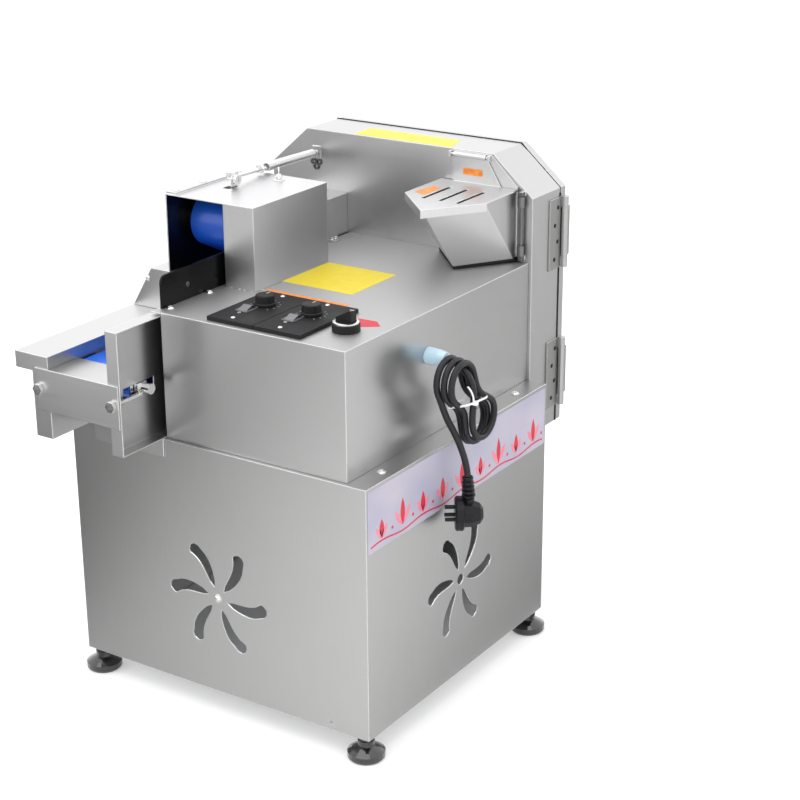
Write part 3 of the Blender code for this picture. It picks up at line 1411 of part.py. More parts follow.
def build():
    clear_scene()
    middle_x = (shelf_left + base_width) / 2
    front = conveyor_front - 2 * gap - sheet - bolt_head
    middle_y = (front + door_rear + handle_reach) / 2
    new_body("machine", (0, 0, 0))
    bodies["machine"].location = (-middle_x, -middle_y, 0)

    new_body("rear_door", (hinge_x, hinge_y, 0), "machine")
    new_body("feed_hopper", (*hopper_pin, 0), "machine")
    new_body("hopper_lid", (hopper_apex_x, lid_rod_y, lid_rod_z), "feed_hopper")
    new_body("cutter", (cutter_x, blade_front, cutter_z), "machine")
    new_body("motor_pulley", (cutter_x, pulley_y, motor_z), "machine")
    new_body("take_up", (trough_left, tail_y, roller_axis_z), "machine")
    new_body("tail_roller", (trough_left, tail_y, roller_axis_z), "take_up")
    new_body("drive_roller", (trough_left, drive_y, roller_axis_z), "machine")
    new_body("press_roller_front", (press_left, press_y, press_z), "machine")
    new_body("press_arm", (press_left, press_y, press_z), "machine")
    new_body("press_roller_rear", (press_left, press_rear_y, press_rear_z), "press_arm")

    for name, x, y in foot_places():
        new_body(name, (x, y, 0), "machine")
        attach(make_foot(name, x, y), name)
    for side, left in (("left", panel_left), ("right", panel_left + panel_pitch)):
        knob = f"speed_knob_{side}"
        rocker = f"rocker_{side}"
        new_body(knob, (left + knob_offset, knob_y, panel_top), "machine")
        new_body(rocker, (left + rocker_offset, rocker_y, panel_top), "machine")
        attach(make_panel(f"control_panel_{side}", left), "machine")
        attach(make_knob(knob, left), knob)
        attach(make_rocker(rocker, left), rocker)
    collar, selector = make_selector()
    new_body("selector_knob", (selector_x, selector_y, deck_z), "machine")
    attach(collar, "machine")
    attach(selector, "selector_knob")

    for piece in (make_base_cabinet(), make_base_floor(), make_housing(), make_casing(), make_gasket(),
                  make_left_guard(), make_right_guard(), make_front_plate(), make_bed(), make_belt(),
                  make_gearmotor(), make_bolt("tension_bolt_left", left_bolt_x),
                  make_bolt("tension_bolt_right", right_bolt_x), make_bearing_housing(), make_v_belt(),
                  make_side_cover(), make_roller_cover(), make_feed_duct(), make_spring(), make_gland(),
                  make_hank(), make_plug(), *make_side_plates(), *make_cords()):
        attach(piece, "machine")

    attach(make_door(), "rear_door")
    for side, z in zip(("upper", "lower"), hinge_centres):
        casing_leaf, door_leaf = make_hinge(f"hinge_{side}", z)
        attach(casing_leaf, "machine")
        attach(door_leaf, "rear_door")
    for piece in make_cutter():
        attach(piece, "cutter")
    motor, pulley = make_cutter_motor()
    attach(motor, "machine")
    attach(pulley, "motor_pulley")
    tail, axle = make_tail_roller()
    attach(tail, "tail_roller")
    attach(axle, "take_up")
    attach(make_drive_roller(), "drive_roller")
    press_front, press_rear = make_press_rollers()
    attach(press_front, "press_roller_front")
    attach(press_rear, "press_roller_rear")
    attach(make_press_arm(), "press_arm")
    attach(make_press_belt(), "press_arm")
    attach(make_hopper(), "feed_hopper")
    attach(make_hopper_lid(), "hopper_lid")


build()
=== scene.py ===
# Vegetable cutting machine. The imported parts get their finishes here, and the trim, screws, print and
# mains cord that the solids leave plain are added. Lengths are metres, +Z is up.
import math

import bmesh
import bpy
import numpy as np
from mathutils import Matrix, Vector


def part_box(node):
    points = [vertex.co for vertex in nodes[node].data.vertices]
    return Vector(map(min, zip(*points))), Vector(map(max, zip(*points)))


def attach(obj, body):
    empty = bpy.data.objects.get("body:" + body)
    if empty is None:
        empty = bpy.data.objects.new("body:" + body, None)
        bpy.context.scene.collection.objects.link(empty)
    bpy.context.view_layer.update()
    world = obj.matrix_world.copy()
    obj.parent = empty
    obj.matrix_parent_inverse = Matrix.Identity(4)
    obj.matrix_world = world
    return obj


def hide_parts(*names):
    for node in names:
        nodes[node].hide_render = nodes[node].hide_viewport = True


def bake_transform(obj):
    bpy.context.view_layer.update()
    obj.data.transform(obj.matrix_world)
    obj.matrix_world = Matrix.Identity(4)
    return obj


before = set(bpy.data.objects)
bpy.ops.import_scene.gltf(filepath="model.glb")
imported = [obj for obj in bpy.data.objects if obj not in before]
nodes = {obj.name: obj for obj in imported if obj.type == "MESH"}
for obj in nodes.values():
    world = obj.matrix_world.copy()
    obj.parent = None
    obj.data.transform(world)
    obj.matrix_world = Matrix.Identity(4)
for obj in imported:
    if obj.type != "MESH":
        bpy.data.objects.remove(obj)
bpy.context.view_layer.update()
print("frame:", len(nodes), "nodes")

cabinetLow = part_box("base_cabinet")[0]
corner = np.array((cabinetLow.x, cabinetLow.y, 0.0))  # cabinet's front left corner on the floor


def place(x, y, z):
    # a place measured from the cabinet's front left corner
    return corner + (x, y, z)


def addObject(name, data):
    obj = bpy.data.objects.new(name, data)
    bpy.context.scene.collection.objects.link(obj)
    return obj


# Node tools

def newFinish(name):
    finish = bpy.data.materials.new(name)
    finish.use_nodes = True
    tree = finish.node_tree
    return finish, tree, tree.nodes["Principled BSDF"]


def feed(tree, node, inputs):
    # each input gets a number, a colour or another node's output
    for key, value in inputs.items():
        if isinstance(value, bpy.types.NodeSocket):
            tree.links.new(value, node.inputs[key])
        else:
            node.inputs[key].default_value = value


def addNode(tree, kind, inputs, **settings):
    node = tree.nodes.new("ShaderNode" + kind)
    for key, value in settings.items():
        setattr(node, key, value)
    feed(tree, node, inputs)
    return node.outputs


def objectCoords(tree):
    return addNode(tree, "TexCoord", {})["Object"]


def grainNoise(tree, scale, detail=2.0, lumps=0.5):
    # Perlin noise over object coordinates, stretched by the three scale factors
    mapped = addNode(tree, "Mapping", {"Vector": objectCoords(tree), "Scale": scale})[0]
    return addNode(tree, "TexNoise", {"Vector": mapped, "Scale": 1.0, "Detail": detail,
                                      "Roughness": lumps})["Fac"]


def spread(tree, value, low, high, start=0.3, end=0.7):
    # straight line from start..end onto low..high
    return addNode(tree, "MapRange", {"Value": value, "From Min": start, "From Max": end,
                                      "To Min": low, "To Max": high})["Result"]


def dotProduct(tree, first, second):
    return addNode(tree, "VectorMath", {0: first, 1: second}, operation="DOT_PRODUCT")["Value"]


def toneRamp(tree, value, stops):
    # a ramp through (position, tone) stops
    ramp = tree.nodes.new("ShaderNodeValToRGB")
    bands = ramp.color_ramp.elements
    for number, (position, tone) in enumerate(stops):
        band = bands[number] if number < 2 else bands.new(position)
        band.position = position
        band.color = (*tone, 1)
    feed(tree, ramp, {"Fac": value})
    return ramp.outputs["Color"]


def blendTints(tree, factor, first, second):
    # first where the factor is 0, second where it is 1; each a tone or another node's output
    first, second = ((*tint, 1) if isinstance(tint, tuple) else tint for tint in (first, second))
    return addNode(tree, "Mix", {"Factor": factor, 6: first, 7: second}, data_type="RGBA")[2]


def mixShaders(tree, factor, first, second):
    return addNode(tree, "MixShader", {0: factor, 1: first, 2: second})[0]


# Camera and studio

cameraView = {
    "azimuth": 33.4405,
    "elevation": 20.6133,
    "roll": -0.3744,
    "place": (1.6231, -1.67371, 1.25477),
    "lens": 83.76,
    "sensor": 36.0,
}


def makeCamera(view):
    azimuth, elevation, roll = (math.radians(view[key]) for key in ("azimuth", "elevation", "roll"))
    back = Vector((math.sin(azimuth) * math.cos(elevation), -math.cos(azimuth) * math.cos(elevation),
                   math.sin(elevation)))
    level = Vector((math.cos(azimuth), math.sin(azimuth), 0))
    upright = back.cross(level)
    right = level * math.cos(roll) + upright * math.sin(roll)
    up = upright * math.cos(roll) - level * math.sin(roll)
    data = bpy.data.cameras.new("camera")
    data.lens = view["lens"]
    data.sensor_width = view["sensor"]
    data.clip_end = 50
    camera = addObject("camera", data)
    turn = Matrix((right, up, back)).transposed().to_4x4()
    camera.matrix_world = Matrix.Translation(place(*view["place"])) @ turn
    bpy.context.scene.camera = camera


studio = {
    "floorTone": 0.84,
    "floorGlow": 0.30,
    "floorRoughness": 0.9,
    # tone at the horizon, tone higher up, the height where it is reached, and the strength
    "litSky": ((0.80, 0.80, 0.81), (1.0, 1.0, 1.0), 0.45, 1.15),
    "mirroredSky": ((1.0, 1.0, 1.0), (0.92, 0.92, 0.93), 0.45, 1.72),
    "cardTone": 0.01,
    "softboxes": [
        # name, place, aim, width, height, watts
        ("overhead", (0.2, -0.4, 2.6), (0.2, 0.2, 0.4), 2.0, 2.0, 16),
        ("leftFront", (-2.0, -2.0, 1.5), (0.2, 0.2, 0.3), 1.4, 1.8, 10),
        ("coverFill", (-0.36, -0.60, 0.36), (0.175, 0.137, 0.61), 0.22, 0.26, 0.18),
        ("insideCabinet", (0.234, 0.200, 0.355), (0.234, 0.200, 0.0), 0.30, 0.26, 1.0),
    ],
    "cards": [
        # dark cards on the floor that only reflections see: name, low and high corner, height, the
        # ramp's direction over X and Y, and its stops as (distance along it, share of dark)
        ("frontCard", (-5.0, -6.0), (1.2, -0.02), 0.004, (1.0, -0.45),
         ((-0.26, 0.97), (-0.16, 0.84), (-0.02, 0.56), (0.10, 0.40), (0.22, 0.26), (0.55, 0.0))),
        ("rearCard", (0.49, -0.4), (5.0, 6.0), 0.004, (-1.6, 1.0),
         ((-0.95, 0.0), (-0.79, 0.18), (-0.58, 0.40), (-0.38, 0.60), (-0.22, 0.72), (-0.12, 0.45))),
        ("farCard", (1.05, 1.66), (2.4, 2.9), 0.008, (-1.6, 1.0),
         ((-0.72, 0.0), (-0.34, 0.75), (-0.22, 0.75), (-0.10, 0.0))),
    ],
}


def plainSheet(name, low, high, height):
    mesh = bpy.data.meshes.new(name)
    mesh.from_pydata([(low[0], low[1], height), (high[0], low[1], height), (high[0], high[1], height),
                      (low[0], high[1], height)], [], [(0, 1, 2, 3)])
    sheet = addObject(name, mesh)
    return sheet


def makeCard(name, low, high, height, direction, stops):
    # black and clear mixed along a ramp: direction . (x, y) from the cabinet's corner
    sheet = plainSheet(name, place(*low, 0), place(*high, 0), height)
    card, tree, black = newFinish(name)
    feed(tree, black, {"Base Color": (studio["cardTone"],) * 3 + (1,), "Specular IOR Level": 0.0})
    along = dotProduct(tree, objectCoords(tree), (*direction, 0))
    origin = direction[0] * corner[0] + direction[1] * corner[1]
    first, last = stops[0][0], stops[-1][0]
    share = spread(tree, along, 0, 1, first + origin, last + origin)
    dark = toneRamp(tree, share, [((distance - first) / (last - first), (depth,) * 3)
                                  for distance, depth in stops])
    clear = addNode(tree, "BsdfTransparent", {})[0]
    surface = mixShaders(tree, dark, clear, black.outputs[0])
    feed(tree, tree.nodes["Material Output"], {"Surface": surface})
    sheet.data.materials.append(card)
    sheet.visible_camera = False
    sheet.visible_shadow = False
    sheet.visible_diffuse = False


def makeSky(tree, side, top, turn, strength):
    # from the side tone at the horizon to the top tone a little way up
    direction = addNode(tree, "TexCoord", {})["Generated"]
    height = addNode(tree, "SeparateXYZ", {0: direction})["Z"]
    colour = toneRamp(tree, height, ((0.0, side), (turn, top)))
    return addNode(tree, "Background", {"Color": colour, "Strength": strength})[0]


def makeSoftbox(name, position, aim, width, height, watts):
    data = bpy.data.lights.new(name, "AREA")
    data.shape = "RECTANGLE"
    data.size = width
    data.size_y = height
    data.energy = watts
    lamp = addObject(name, data)
    lamp.location = place(*position)
    lamp.rotation_mode = "QUATERNION"
    lamp.rotation_quaternion = Vector(place(*aim) - place(*position)).to_track_quat("-Z", "Y")
    lamp.visible_camera = False


def makeStudio(look):
    world = bpy.data.worlds.new("studio")
    bpy.context.scene.world = world
    world.use_nodes = True
    tree = world.node_tree
    lit = makeSky(tree, *look["litSky"])
    mirrored = makeSky(tree, *look["mirroredSky"])
    plain = tree.nodes["Background"]
    feed(tree, plain, {"Color": (1, 1, 1, 1), "Strength": 1.0})
    seen = addNode(tree, "LightPath", {})
    glossy = mixShaders(tree, seen["Is Glossy Ray"], lit, mirrored)
    surface = mixShaders(tree, seen["Is Camera Ray"], glossy, plain.outputs[0])
    feed(tree, tree.nodes["World Output"], {"Surface": surface})
    for softbox in look["softboxes"]:
        makeSoftbox(*softbox)
    floor = plainSheet("floor", (-9.0, -9.0), (9.0, 9.0), 0.0)
    paper, tree, shader = newFinish("paper")
    feed(tree, shader, {"Base Color": (look["floorTone"],) * 3 + (1,), "Roughness": look["floorRoughness"],
                        "Emission Color": (1, 1, 1, 1), "Emission Strength": look["floorGlow"]})
    floor.data.materials.append(paper)
    for card in look["cards"]:
        makeCard(*card)


makeCamera(cameraView)
makeStudio(studio)
bpy.context.scene.view_settings.view_transform = "Standard"
print("camera and studio")


# Finishes

def softEdges(tree, shader, radius, height, strength, distance):
    # rounded-looking edges with a fine relief on top; gives the rounded normal back
    rounded = addNode(tree, "Bevel", {"Radius": radius}, samples=4)["Normal"]
    relief = addNode(tree, "Bump", {"Height": height, "Normal": rounded, "Strength": strength,
                                    "Distance": distance})["Normal"]
    feed(tree, shader, {"Normal": relief})
    return rounded


def paintedEdgeHighlight(tree, rounded):
    # 0 on flat faces, 1 where the rounded normal leans most from the face's own; it masks the highlight
    # painted along the edges
    flat = addNode(tree, "NewGeometry", {})["True Normal"]
    return spread(tree, dotProduct(tree, rounded, flat), 1, 0, 0.74, 0.985)


def insideBox(tree, low, high):
    # 1 inside the box and 0 outside it, over object coordinates: the three axes' tests multiplied
    inside = None
    for axis, output in enumerate(addNode(tree, "SeparateXYZ", {0: objectCoords(tree)})):
        middle, half = (low[axis] + high[axis]) / 2, (high[axis] - low[axis]) / 2
        test = addNode(tree, "Math", {0: output, 1: middle, 2: half}, operation="COMPARE")[0]
        inside = addNode(tree, "Math", {0: inside, 1: test}, operation="MULTIPLY")[0] if axis else test
    return inside


def brushedSteel(name, grain, tone, rough=(0.33, 0.39), edge=0.0015):
    # metal with lines along one axis, slow greyer clouds and a highlight painted along the edges
    finish, tree, shader = newFinish(name)
    along = {"x": (16, 2200, 2200), "y": (2200, 16, 2200), "z": (2200, 2200, 16)}[grain]
    lines = grainNoise(tree, along, 3.0, 0.6)
    clouds = grainNoise(tree, (5, 5, 5), 3.0, 0.5)
    light = tuple(min(1.0, channel * 1.03) for channel in tone)
    dark = tuple(channel * 0.96 for channel in tone)
    colour = blendTints(tree, spread(tree, lines, 0, 1), dark, light)
    greyer = tuple(channel * 0.9 for channel in tone)
    colour = blendTints(tree, spread(tree, clouds, 0, 0.35, 0.45, 0.75), colour, greyer)
    rounded = softEdges(tree, shader, edge, lines, 0.03, 0.0001)
    # painted highlight: the edges are lightened towards a near white tone in place of reflected light
    colour = blendTints(tree, paintedEdgeHighlight(tree, rounded), colour, (0.90, 0.90, 0.895))
    feed(tree, shader, {"Base Color": colour, "Roughness": spread(tree, lines, *rough), "Metallic": 1.0})
    return finish


def brightMetal(name, tone, rough, edge=0.0004):
    # turned or polished metal with small soft marks
    finish, tree, shader = newFinish(name)
    marks = grainNoise(tree, (220, 220, 220), 3.0, 0.6)
    dark = tuple(channel * 0.88 for channel in tone)
    feed(tree, shader, {"Base Color": blendTints(tree, spread(tree, marks, 0, 1), dark, tone),
                        "Roughness": spread(tree, marks, rough * 0.75, rough * 1.3), "Metallic": 1.0})
    softEdges(tree, shader, edge, marks, 0.04, 0.0001)
    return finish


def moulded(name, tone, rough, relief, size, shine=0.5, coat=0.0, edge=0.0005):
    # moulded, painted or rubber surface: fine speckle in the relief, slow clouds in the tint
    finish, tree, shader = newFinish(name)
    speckle = grainNoise(tree, (size, size, size), 2.0, 0.6)
    clouds = grainNoise(tree, (18, 18, 18), 2.0, 0.5)
    light = tuple(min(1.0, channel * 1.25 + 0.002) for channel in tone)
    feed(tree, shader, {"Base Color": blendTints(tree, spread(tree, clouds, 0, 1), tone, light),
                        "Roughness": spread(tree, clouds, rough * 0.85, min(1.0, rough * 1.2)),
                        "Specular IOR Level": shine})
    if coat:
        feed(tree, shader, {"Coat Weight": coat, "Coat Roughness": 0.08})
    softEdges(tree, shader, edge, speckle, relief, 0.0002)
    return finish


def printed(name, tone, second, share=0.5, scale=(60, 60, 60), rough=0.35):
    # print on film: two tones in soft patches, with fine ink speckle
    finish, tree, shader = newFinish(name)
    patches = grainNoise(tree, scale, 2.0, 0.5)
    ink = grainNoise(tree, (1400, 1400, 1400), 1.0, 0.5)
    colour = blendTints(tree, spread(tree, patches, 0, share, 0.4, 0.7), tone, second)
    light = tuple(min(1.0, channel * 1.05 + 0.01) for channel in tone)
    colour = blendTints(tree, spread(tree, ink, 0, 0.3), colour, light)
    feed(tree, shader, {"Base Color": colour, "Roughness": spread(tree, patches, rough, rough + 0.12),
                        "Specular IOR Level": 0.35})
    softEdges(tree, shader, 0.0002, ink, 0.02, 0.0001)
    return finish

steelLooks = {
    # direction of the lines, tone, roughness from and to, width of the bright edges
    "cabinetSteel": ("z", (0.47, 0.468, 0.465)),
    "housingSteel": ("y", (0.50, 0.498, 0.496), (0.28, 0.34)),
    "casingSteel": ("z", (0.51, 0.51, 0.508)),
    "coverSteel": ("z", (0.60, 0.60, 0.605)),
    "guardSteel": ("y", (0.54, 0.54, 0.54)),
    "crossSteel": ("x", (0.54, 0.54, 0.54)),
    "hopperSteel": ("z", (0.58, 0.58, 0.58)),
    "hingeSteel": ("z", (0.40, 0.40, 0.395), (0.28, 0.34), 0.0006),
    "zincPlate": ("x", (0.42, 0.43, 0.44), (0.40, 0.50)),
}

metalLooks = {
    # tone, roughness
    "polished": ((0.72, 0.715, 0.705), 0.17),
    "machined": ((0.50, 0.50, 0.49), 0.30),
    "darkSteel": ((0.10, 0.10, 0.105), 0.35),
    "switchMetal": ((0.22, 0.22, 0.235), 0.30),
    "platedWire": ((0.64, 0.64, 0.65), 0.20),
}

mouldedLooks = {
    # tone, roughness, relief, size of the speckle, shine, clear coat
    "castIron": ((0.075, 0.08, 0.085), 0.55, 0.40, 900),
    "motorPaint": ((0.03, 0.055, 0.10), 0.45, 0.20, 1200, 0.50, 0.20),
    "blackMatt": ((0.0045, 0.0045, 0.005), 0.48, 0.25, 1800, 0.28),
    "panelBlack": ((0.009, 0.009, 0.010), 0.55, 0.30, 1500, 0.22),
    "blackSheen": ((0.0025, 0.0025, 0.003), 0.25, 0.03, 300, 0.16),
    "footBlack": ((0.006, 0.006, 0.007), 0.16, 0.03, 500, 0.60, 0.60),
    "blackRubber": ((0.006, 0.006, 0.006), 0.62, 0.30, 1400, 0.25),
    "cordJacket": ((0.008, 0.008, 0.011), 0.40, 0.12, 900, 0.35),
    "plugBlack": ((0.0035, 0.0035, 0.006), 0.36, 0.12, 1500, 0.25),
    "beltBlue": ((0.009, 0.082, 0.47), 0.34, 0.10, 700, 0.35, 0.15),
    "troughBlue": ((0.014, 0.115, 0.62), 0.34, 0.10, 700, 0.35, 0.15),
    "paleBlue": ((0.50, 0.68, 0.80), 0.35, 0.08, 600, 0.50, 0.20),
    "bezelGrey": ((0.075, 0.075, 0.08), 0.35, 0.10, 900),
    "nylonWhite": ((0.80, 0.80, 0.84), 0.40, 0.05, 700),
}

printLooks = {
    # tone, second tone, its share, size of the patches, roughness
    "whitePrint": ((0.72, 0.72, 0.74), (0.60, 0.60, 0.62)),
    "yellowPrint": ((0.80, 0.64, 0.025), (0.76, 0.56, 0.02)),
    "orangePrint": ((0.82, 0.20, 0.025), (0.88, 0.46, 0.10), 0.9, (140, 260, 140)),
    "redPrint": ((0.62, 0.020, 0.045), (0.72, 0.05, 0.07)),
    "rosePrint": ((0.80, 0.22, 0.30), (0.84, 0.36, 0.44)),
    "bannerPrint": ((0.42, 0.41, 0.52), (0.55, 0.50, 0.57), 0.9, (5, 9, 14), 0.28),
}

finishes = {}
for makeFinish, looks in ((brushedSteel, steelLooks), (brightMetal, metalLooks), (moulded, mouldedLooks),
                          (printed, printLooks)):
    for finishName, finishLook in looks.items():
        finishes[finishName] = makeFinish(finishName, *finishLook)

nodesByFinish = {
    "cabinetSteel": "base_cabinet",
    "housingSteel": "drive_housing",
    "casingSteel": "head_casing rear_door",
    "coverSteel": "roller_cover",
    "guardSteel": "left_guard right_guard conveyor_bed side_cover feed_duct",
    "crossSteel": "conveyor_front_plate",
    "hopperSteel": "feed_hopper hopper_lid",
    "hingeSteel": "hinge_upper_casing_leaf hinge_upper_door_leaf "
                  "hinge_lower_casing_leaf hinge_lower_door_leaf",
    "zincPlate": "motor_plate",
    "polished": "cutter_blade_1 cutter_blade_2 press_arm drive_roller press_roller_front "
                "press_roller_rear tail_roller take_up_axle tension_bolt_left tension_bolt_right",
    "machined": "cutter_wheel cutter_shaft motor_pulley",
    "switchMetal": "rocker_left rocker_right",
    "platedWire": "tension_spring",
    "castIron": "bearing_housing conveyor_gearmotor",
    "motorPaint": "cutter_motor",
    "blackMatt": "speed_knob_left speed_knob_right selector_collar selector_knob",
    "panelBlack": "control_panel_left control_panel_right",
    "blackSheen": "side_plate_right side_plate_left",
    "footBlack": "foot_front_left foot_front_right foot_rear_left foot_rear_right",
    "blackRubber": "door_gasket v_belt",
    "cordJacket": "cord_lead cord_hank cord_tail",
    "plugBlack": "cord_plug",
    "beltBlue": "press_belt",
    "troughBlue": "conveyor_belt",
    "paleBlue": "cable_gland",
}

patches = [
    # places in a finish with a value of their own: finish, low corner, high corner, socket, value; each Base
    # Color value here is painted shade
    # painted shade: the roller cover's inside walls are darkened to near black
    ("coverSteel", (0.0622, 0.1378, 0.5000), (0.2050, 0.2984, 0.6524), "Base Color", (0.06, 0.06, 0.063)),
    # painted shade: casing and hopper are darkened in the corner where they meet by the right side wall
    ("casingSteel", (0.4100, 0.4310, 0.5300), (0.4400, 0.4380, 0.6400), "Base Color", (0.16, 0.16, 0.16)),
    ("hopperSteel", (0.4190, 0.4250, 0.5300), (0.4400, 0.4400, 0.6500), "Base Color", (0.18, 0.18, 0.18)),
    ("housingSteel", (0.1400, 0.0000, 0.5412), (0.4400, 0.4400, 0.5450), "Roughness", (0.52, 0.52, 0.52)),
]


def dressNodes():
    for finish, names in nodesByFinish.items():
        for name in names.split():
            materials = nodes[name].data.materials
            materials.clear()
            materials.append(finishes[finish])
    for finish, low, high, socketName, value in patches:
        # the value takes over from what the socket had, inside a box measured from the cabinet's corner; a
        # Base Color value here paints shade
        tree = finishes[finish].node_tree
        socket = tree.nodes["Principled BSDF"].inputs[socketName]
        before = socket.links[0].from_socket
        mask = insideBox(tree, place(*low), place(*high))
        tree.links.new(blendTints(tree, mask, before, value), socket)


dressNodes()
print("finishes:", len(finishes))


# Mesh tools: every part is a (points, faces) pair, and a piece is a list of parts

def skin(grid, ring=False, caps=True):
    # grid[row, column] is a surface point; columns close on themselves, rows too when ring is set
    rows, columns = grid.shape[:2]
    first = np.arange(rows if ring else rows - 1)[:, None]
    across = np.arange(columns)[None, :]
    following = (first + 1) % rows
    beside = (across + 1) % columns
    quads = np.stack([first * columns + across, first * columns + beside,
                      following * columns + beside, following * columns + across], axis=-1)
    faces = [tuple(quad) for quad in quads.reshape(-1, 4).tolist()]
    if caps and not ring:
        faces.append(tuple(range(columns)))
        faces.append(tuple(range((rows - 1) * columns, rows * columns)))
    return grid.reshape(-1, 3), faces


def axisFrame(direction, hint=(0, 0, 1)):
    # two unit vectors square to the direction
    direction = np.asarray(direction, float)
    direction = direction / np.linalg.norm(direction)
    hint = np.asarray(hint, float)
    if abs(direction @ hint) > 0.95 * np.linalg.norm(hint):
        hint = np.array((1.0, 0.0, 0.0)) if abs(direction[0]) < 0.9 else np.array((0.0, 1.0, 0.0))
    side = np.cross(hint, direction)
    side = side / np.linalg.norm(side)
    return side, np.cross(direction, side), direction


def fullTurn(steps):
    return np.linspace(0, math.tau, steps, endpoint=False)


def circleLine(side, up, angle):
    return np.cos(angle)[:, None] * side + np.sin(angle)[:, None] * up


def turnedPart(profile, centre, direction, segments=24):
    # each (radius, height) pair of the profile is carried round the axis: side cos + up sin
    side, up, axis = axisFrame(direction)
    profile = np.asarray(profile, float)
    circle = circleLine(side, up, fullTurn(segments))
    grid = np.asarray(centre, float) + profile[:, 0, None, None] * circle + profile[:, 1, None, None] * axis
    return skin(grid)


def tubePart(path, radius, segments=12, ring=False, hint=(0, 0, 1)):
    # a circle carried along the path, square to its direction, with a frame that doesn't twist
    path = np.asarray(path, float)
    if ring:
        heading = np.roll(path, -1, axis=0) - np.roll(path, 1, axis=0)
    else:
        heading = np.gradient(path, axis=0)
    heading = heading / np.linalg.norm(heading, axis=1)[:, None]
    hint = np.asarray(hint, float)
    side = np.cross(hint, heading)
    weak = np.linalg.norm(side, axis=1) < 1e-3
    side[weak] = np.cross(np.array((1.0, 0.2, 0.1)), heading[weak])
    side = side / np.linalg.norm(side, axis=1)[:, None]
    up = np.cross(heading, side)
    angle = fullTurn(segments)
    radius = np.broadcast_to(np.asarray(radius, float), (len(path),))
    grid = path[:, None, :] + radius[:, None, None] * (
        np.cos(angle)[None, :, None] * side[:, None, :] + np.sin(angle)[None, :, None] * up[:, None, :])
    return skin(grid, ring=ring)


def slabPart(outline, origin, across, upwards, low, high):
    # a flat outline in the plane of two unit vectors, given thickness along their normal
    outline = np.asarray(outline, float)
    across = np.asarray(across, float)
    upwards = np.asarray(upwards, float)
    normal = np.cross(across, upwards)
    flat = np.asarray(origin, float) + outline[:, 0, None] * across + outline[:, 1, None] * upwards
    grid = np.stack([flat + normal * low, flat + normal * high])
    return skin(grid)


def roundedOutline(width, height, radius, steps=4):
    # rectangle about the origin whose corners are quarter circles
    angle = np.linspace(0, math.pi / 2, steps + 1)
    corners = []
    for quarter, (sx, sy) in enumerate(((1, 1), (-1, 1), (-1, -1), (1, -1))):
        turn = angle + quarter * math.pi / 2
        centre = np.array((sx * (width / 2 - radius), sy * (height / 2 - radius)))
        corners.append(centre + radius * np.stack([np.cos(turn), np.sin(turn)], axis=1))
    return np.concatenate(corners)


def makePiece(name, parts, finish, body="machine", sharp=40.0):
    points, faces, start = [], [], 0
    for partPoints, partFaces in parts:
        points.append(partPoints)
        faces += [tuple(index + start for index in face) for face in partFaces]
        start += len(partPoints)
    mesh = bpy.data.meshes.new(name)
    mesh.from_pydata(np.concatenate(points).tolist(), [], faces)
    bm = bmesh.new()
    bm.from_mesh(mesh)
    bmesh.ops.remove_doubles(bm, verts=bm.verts, dist=1e-6)
    bmesh.ops.recalc_face_normals(bm, faces=bm.faces)
    bm.to_mesh(mesh)
    bm.free()
    mesh.shade_smooth()
    mesh.set_sharp_from_angle(angle=math.radians(sharp))
    mesh.materials.append(finishes[finish])
    obj = addObject(name, mesh)
    if body:
        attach(obj, body)
    return obj


def hermiteLine(start, startHeading, end, endHeading, steps):
    # cubic between two points with a heading at each, the headings scaled by the chord
    start, end = np.asarray(start, float), np.asarray(end, float)
    reach = np.linalg.norm(end - start)
    share = np.linspace(0, 1, steps + 1)[1:, None]
    return ((2 * share ** 3 - 3 * share ** 2 + 1) * start
            + (share ** 3 - 2 * share ** 2 + share) * np.asarray(startHeading, float) * reach
            + (3 * share ** 2 - 2 * share ** 3) * end
            + (share ** 3 - share ** 2) * np.asarray(endHeading, float) * reach)


def domedScrew(centre, normal, radius, height, turn=0.4, segments=28):
    # height (1 - r^2.6) over the disc, less a cross-shaped recess about its middle
    side, up, axis = axisFrame(normal)
    share = np.array((1.0, 1.0, 0.96, 0.86, 0.72, 0.60, 0.52, 0.42, 0.28, 0.12))
    angle = fullTurn(segments)
    lift = height * (1 - share ** 2.6)
    lift[0], lift[1] = 0.0, height * 0.22
    lift[2:] += height * 0.22 * (1 - lift[2:] / height)
    u = share[:, None] * np.cos(angle + turn)
    v = share[:, None] * np.sin(angle + turn)
    cross = (np.minimum(abs(u), abs(v)) < 0.13) & (share[:, None] < 0.55)
    lift = np.where(cross, lift[:, None] - height * 0.5, lift[:, None])
    circle = circleLine(side, up, angle)
    grid = np.asarray(centre, float) + radius * share[:, None, None] * circle + lift[..., None] * axis
    return skin(grid)


def hexPart(centre, normal, flats, height, turn=0.0, bore=0.0):
    # radius (flats / 2) / cos of the angle from the nearest flat, cut to a circle at the chamfer
    side, up, axis = axisFrame(normal)
    angle = fullTurn(36)
    reach = flats / 2 / np.cos((angle + math.radians(30)) % math.radians(60) - math.radians(30))
    chamfer = np.minimum(reach, flats / 2 * 1.04)
    rows = [(reach, 0.0), (reach, height * 0.86), (chamfer, height), (np.full(36, flats * 0.30), height)]
    if bore:
        rows += [(np.full(36, bore), height), (np.full(36, bore), height * 0.5)]
    radius = np.stack([row[0] for row in rows])
    lift = np.array([row[1] for row in rows])
    circle = circleLine(side, up, angle + turn)
    grid = np.asarray(centre, float) + radius[..., None] * circle + lift[:, None, None] * axis
    return skin(grid)


def washerPart(centre, normal, radius, height):
    profile = [(radius, 0), (radius, height * 0.7), (radius - height * 0.3, height), (radius * 0.2, height)]
    return turnedPart(profile, centre, normal, 28)


def cappedNut(centre, normal, flats, height):
    # hexagon below, a ball-shaped cap above it
    hexagon = hexPart(centre, normal, flats, height * 0.5)
    angle = np.linspace(0, math.pi / 2, 8)[:-1]
    cap = np.stack([flats * 0.43 * np.cos(angle), height * (0.48 + 0.52 * np.sin(angle))], axis=1)
    return [hexagon, turnedPart(cap, centre, normal, 24)]


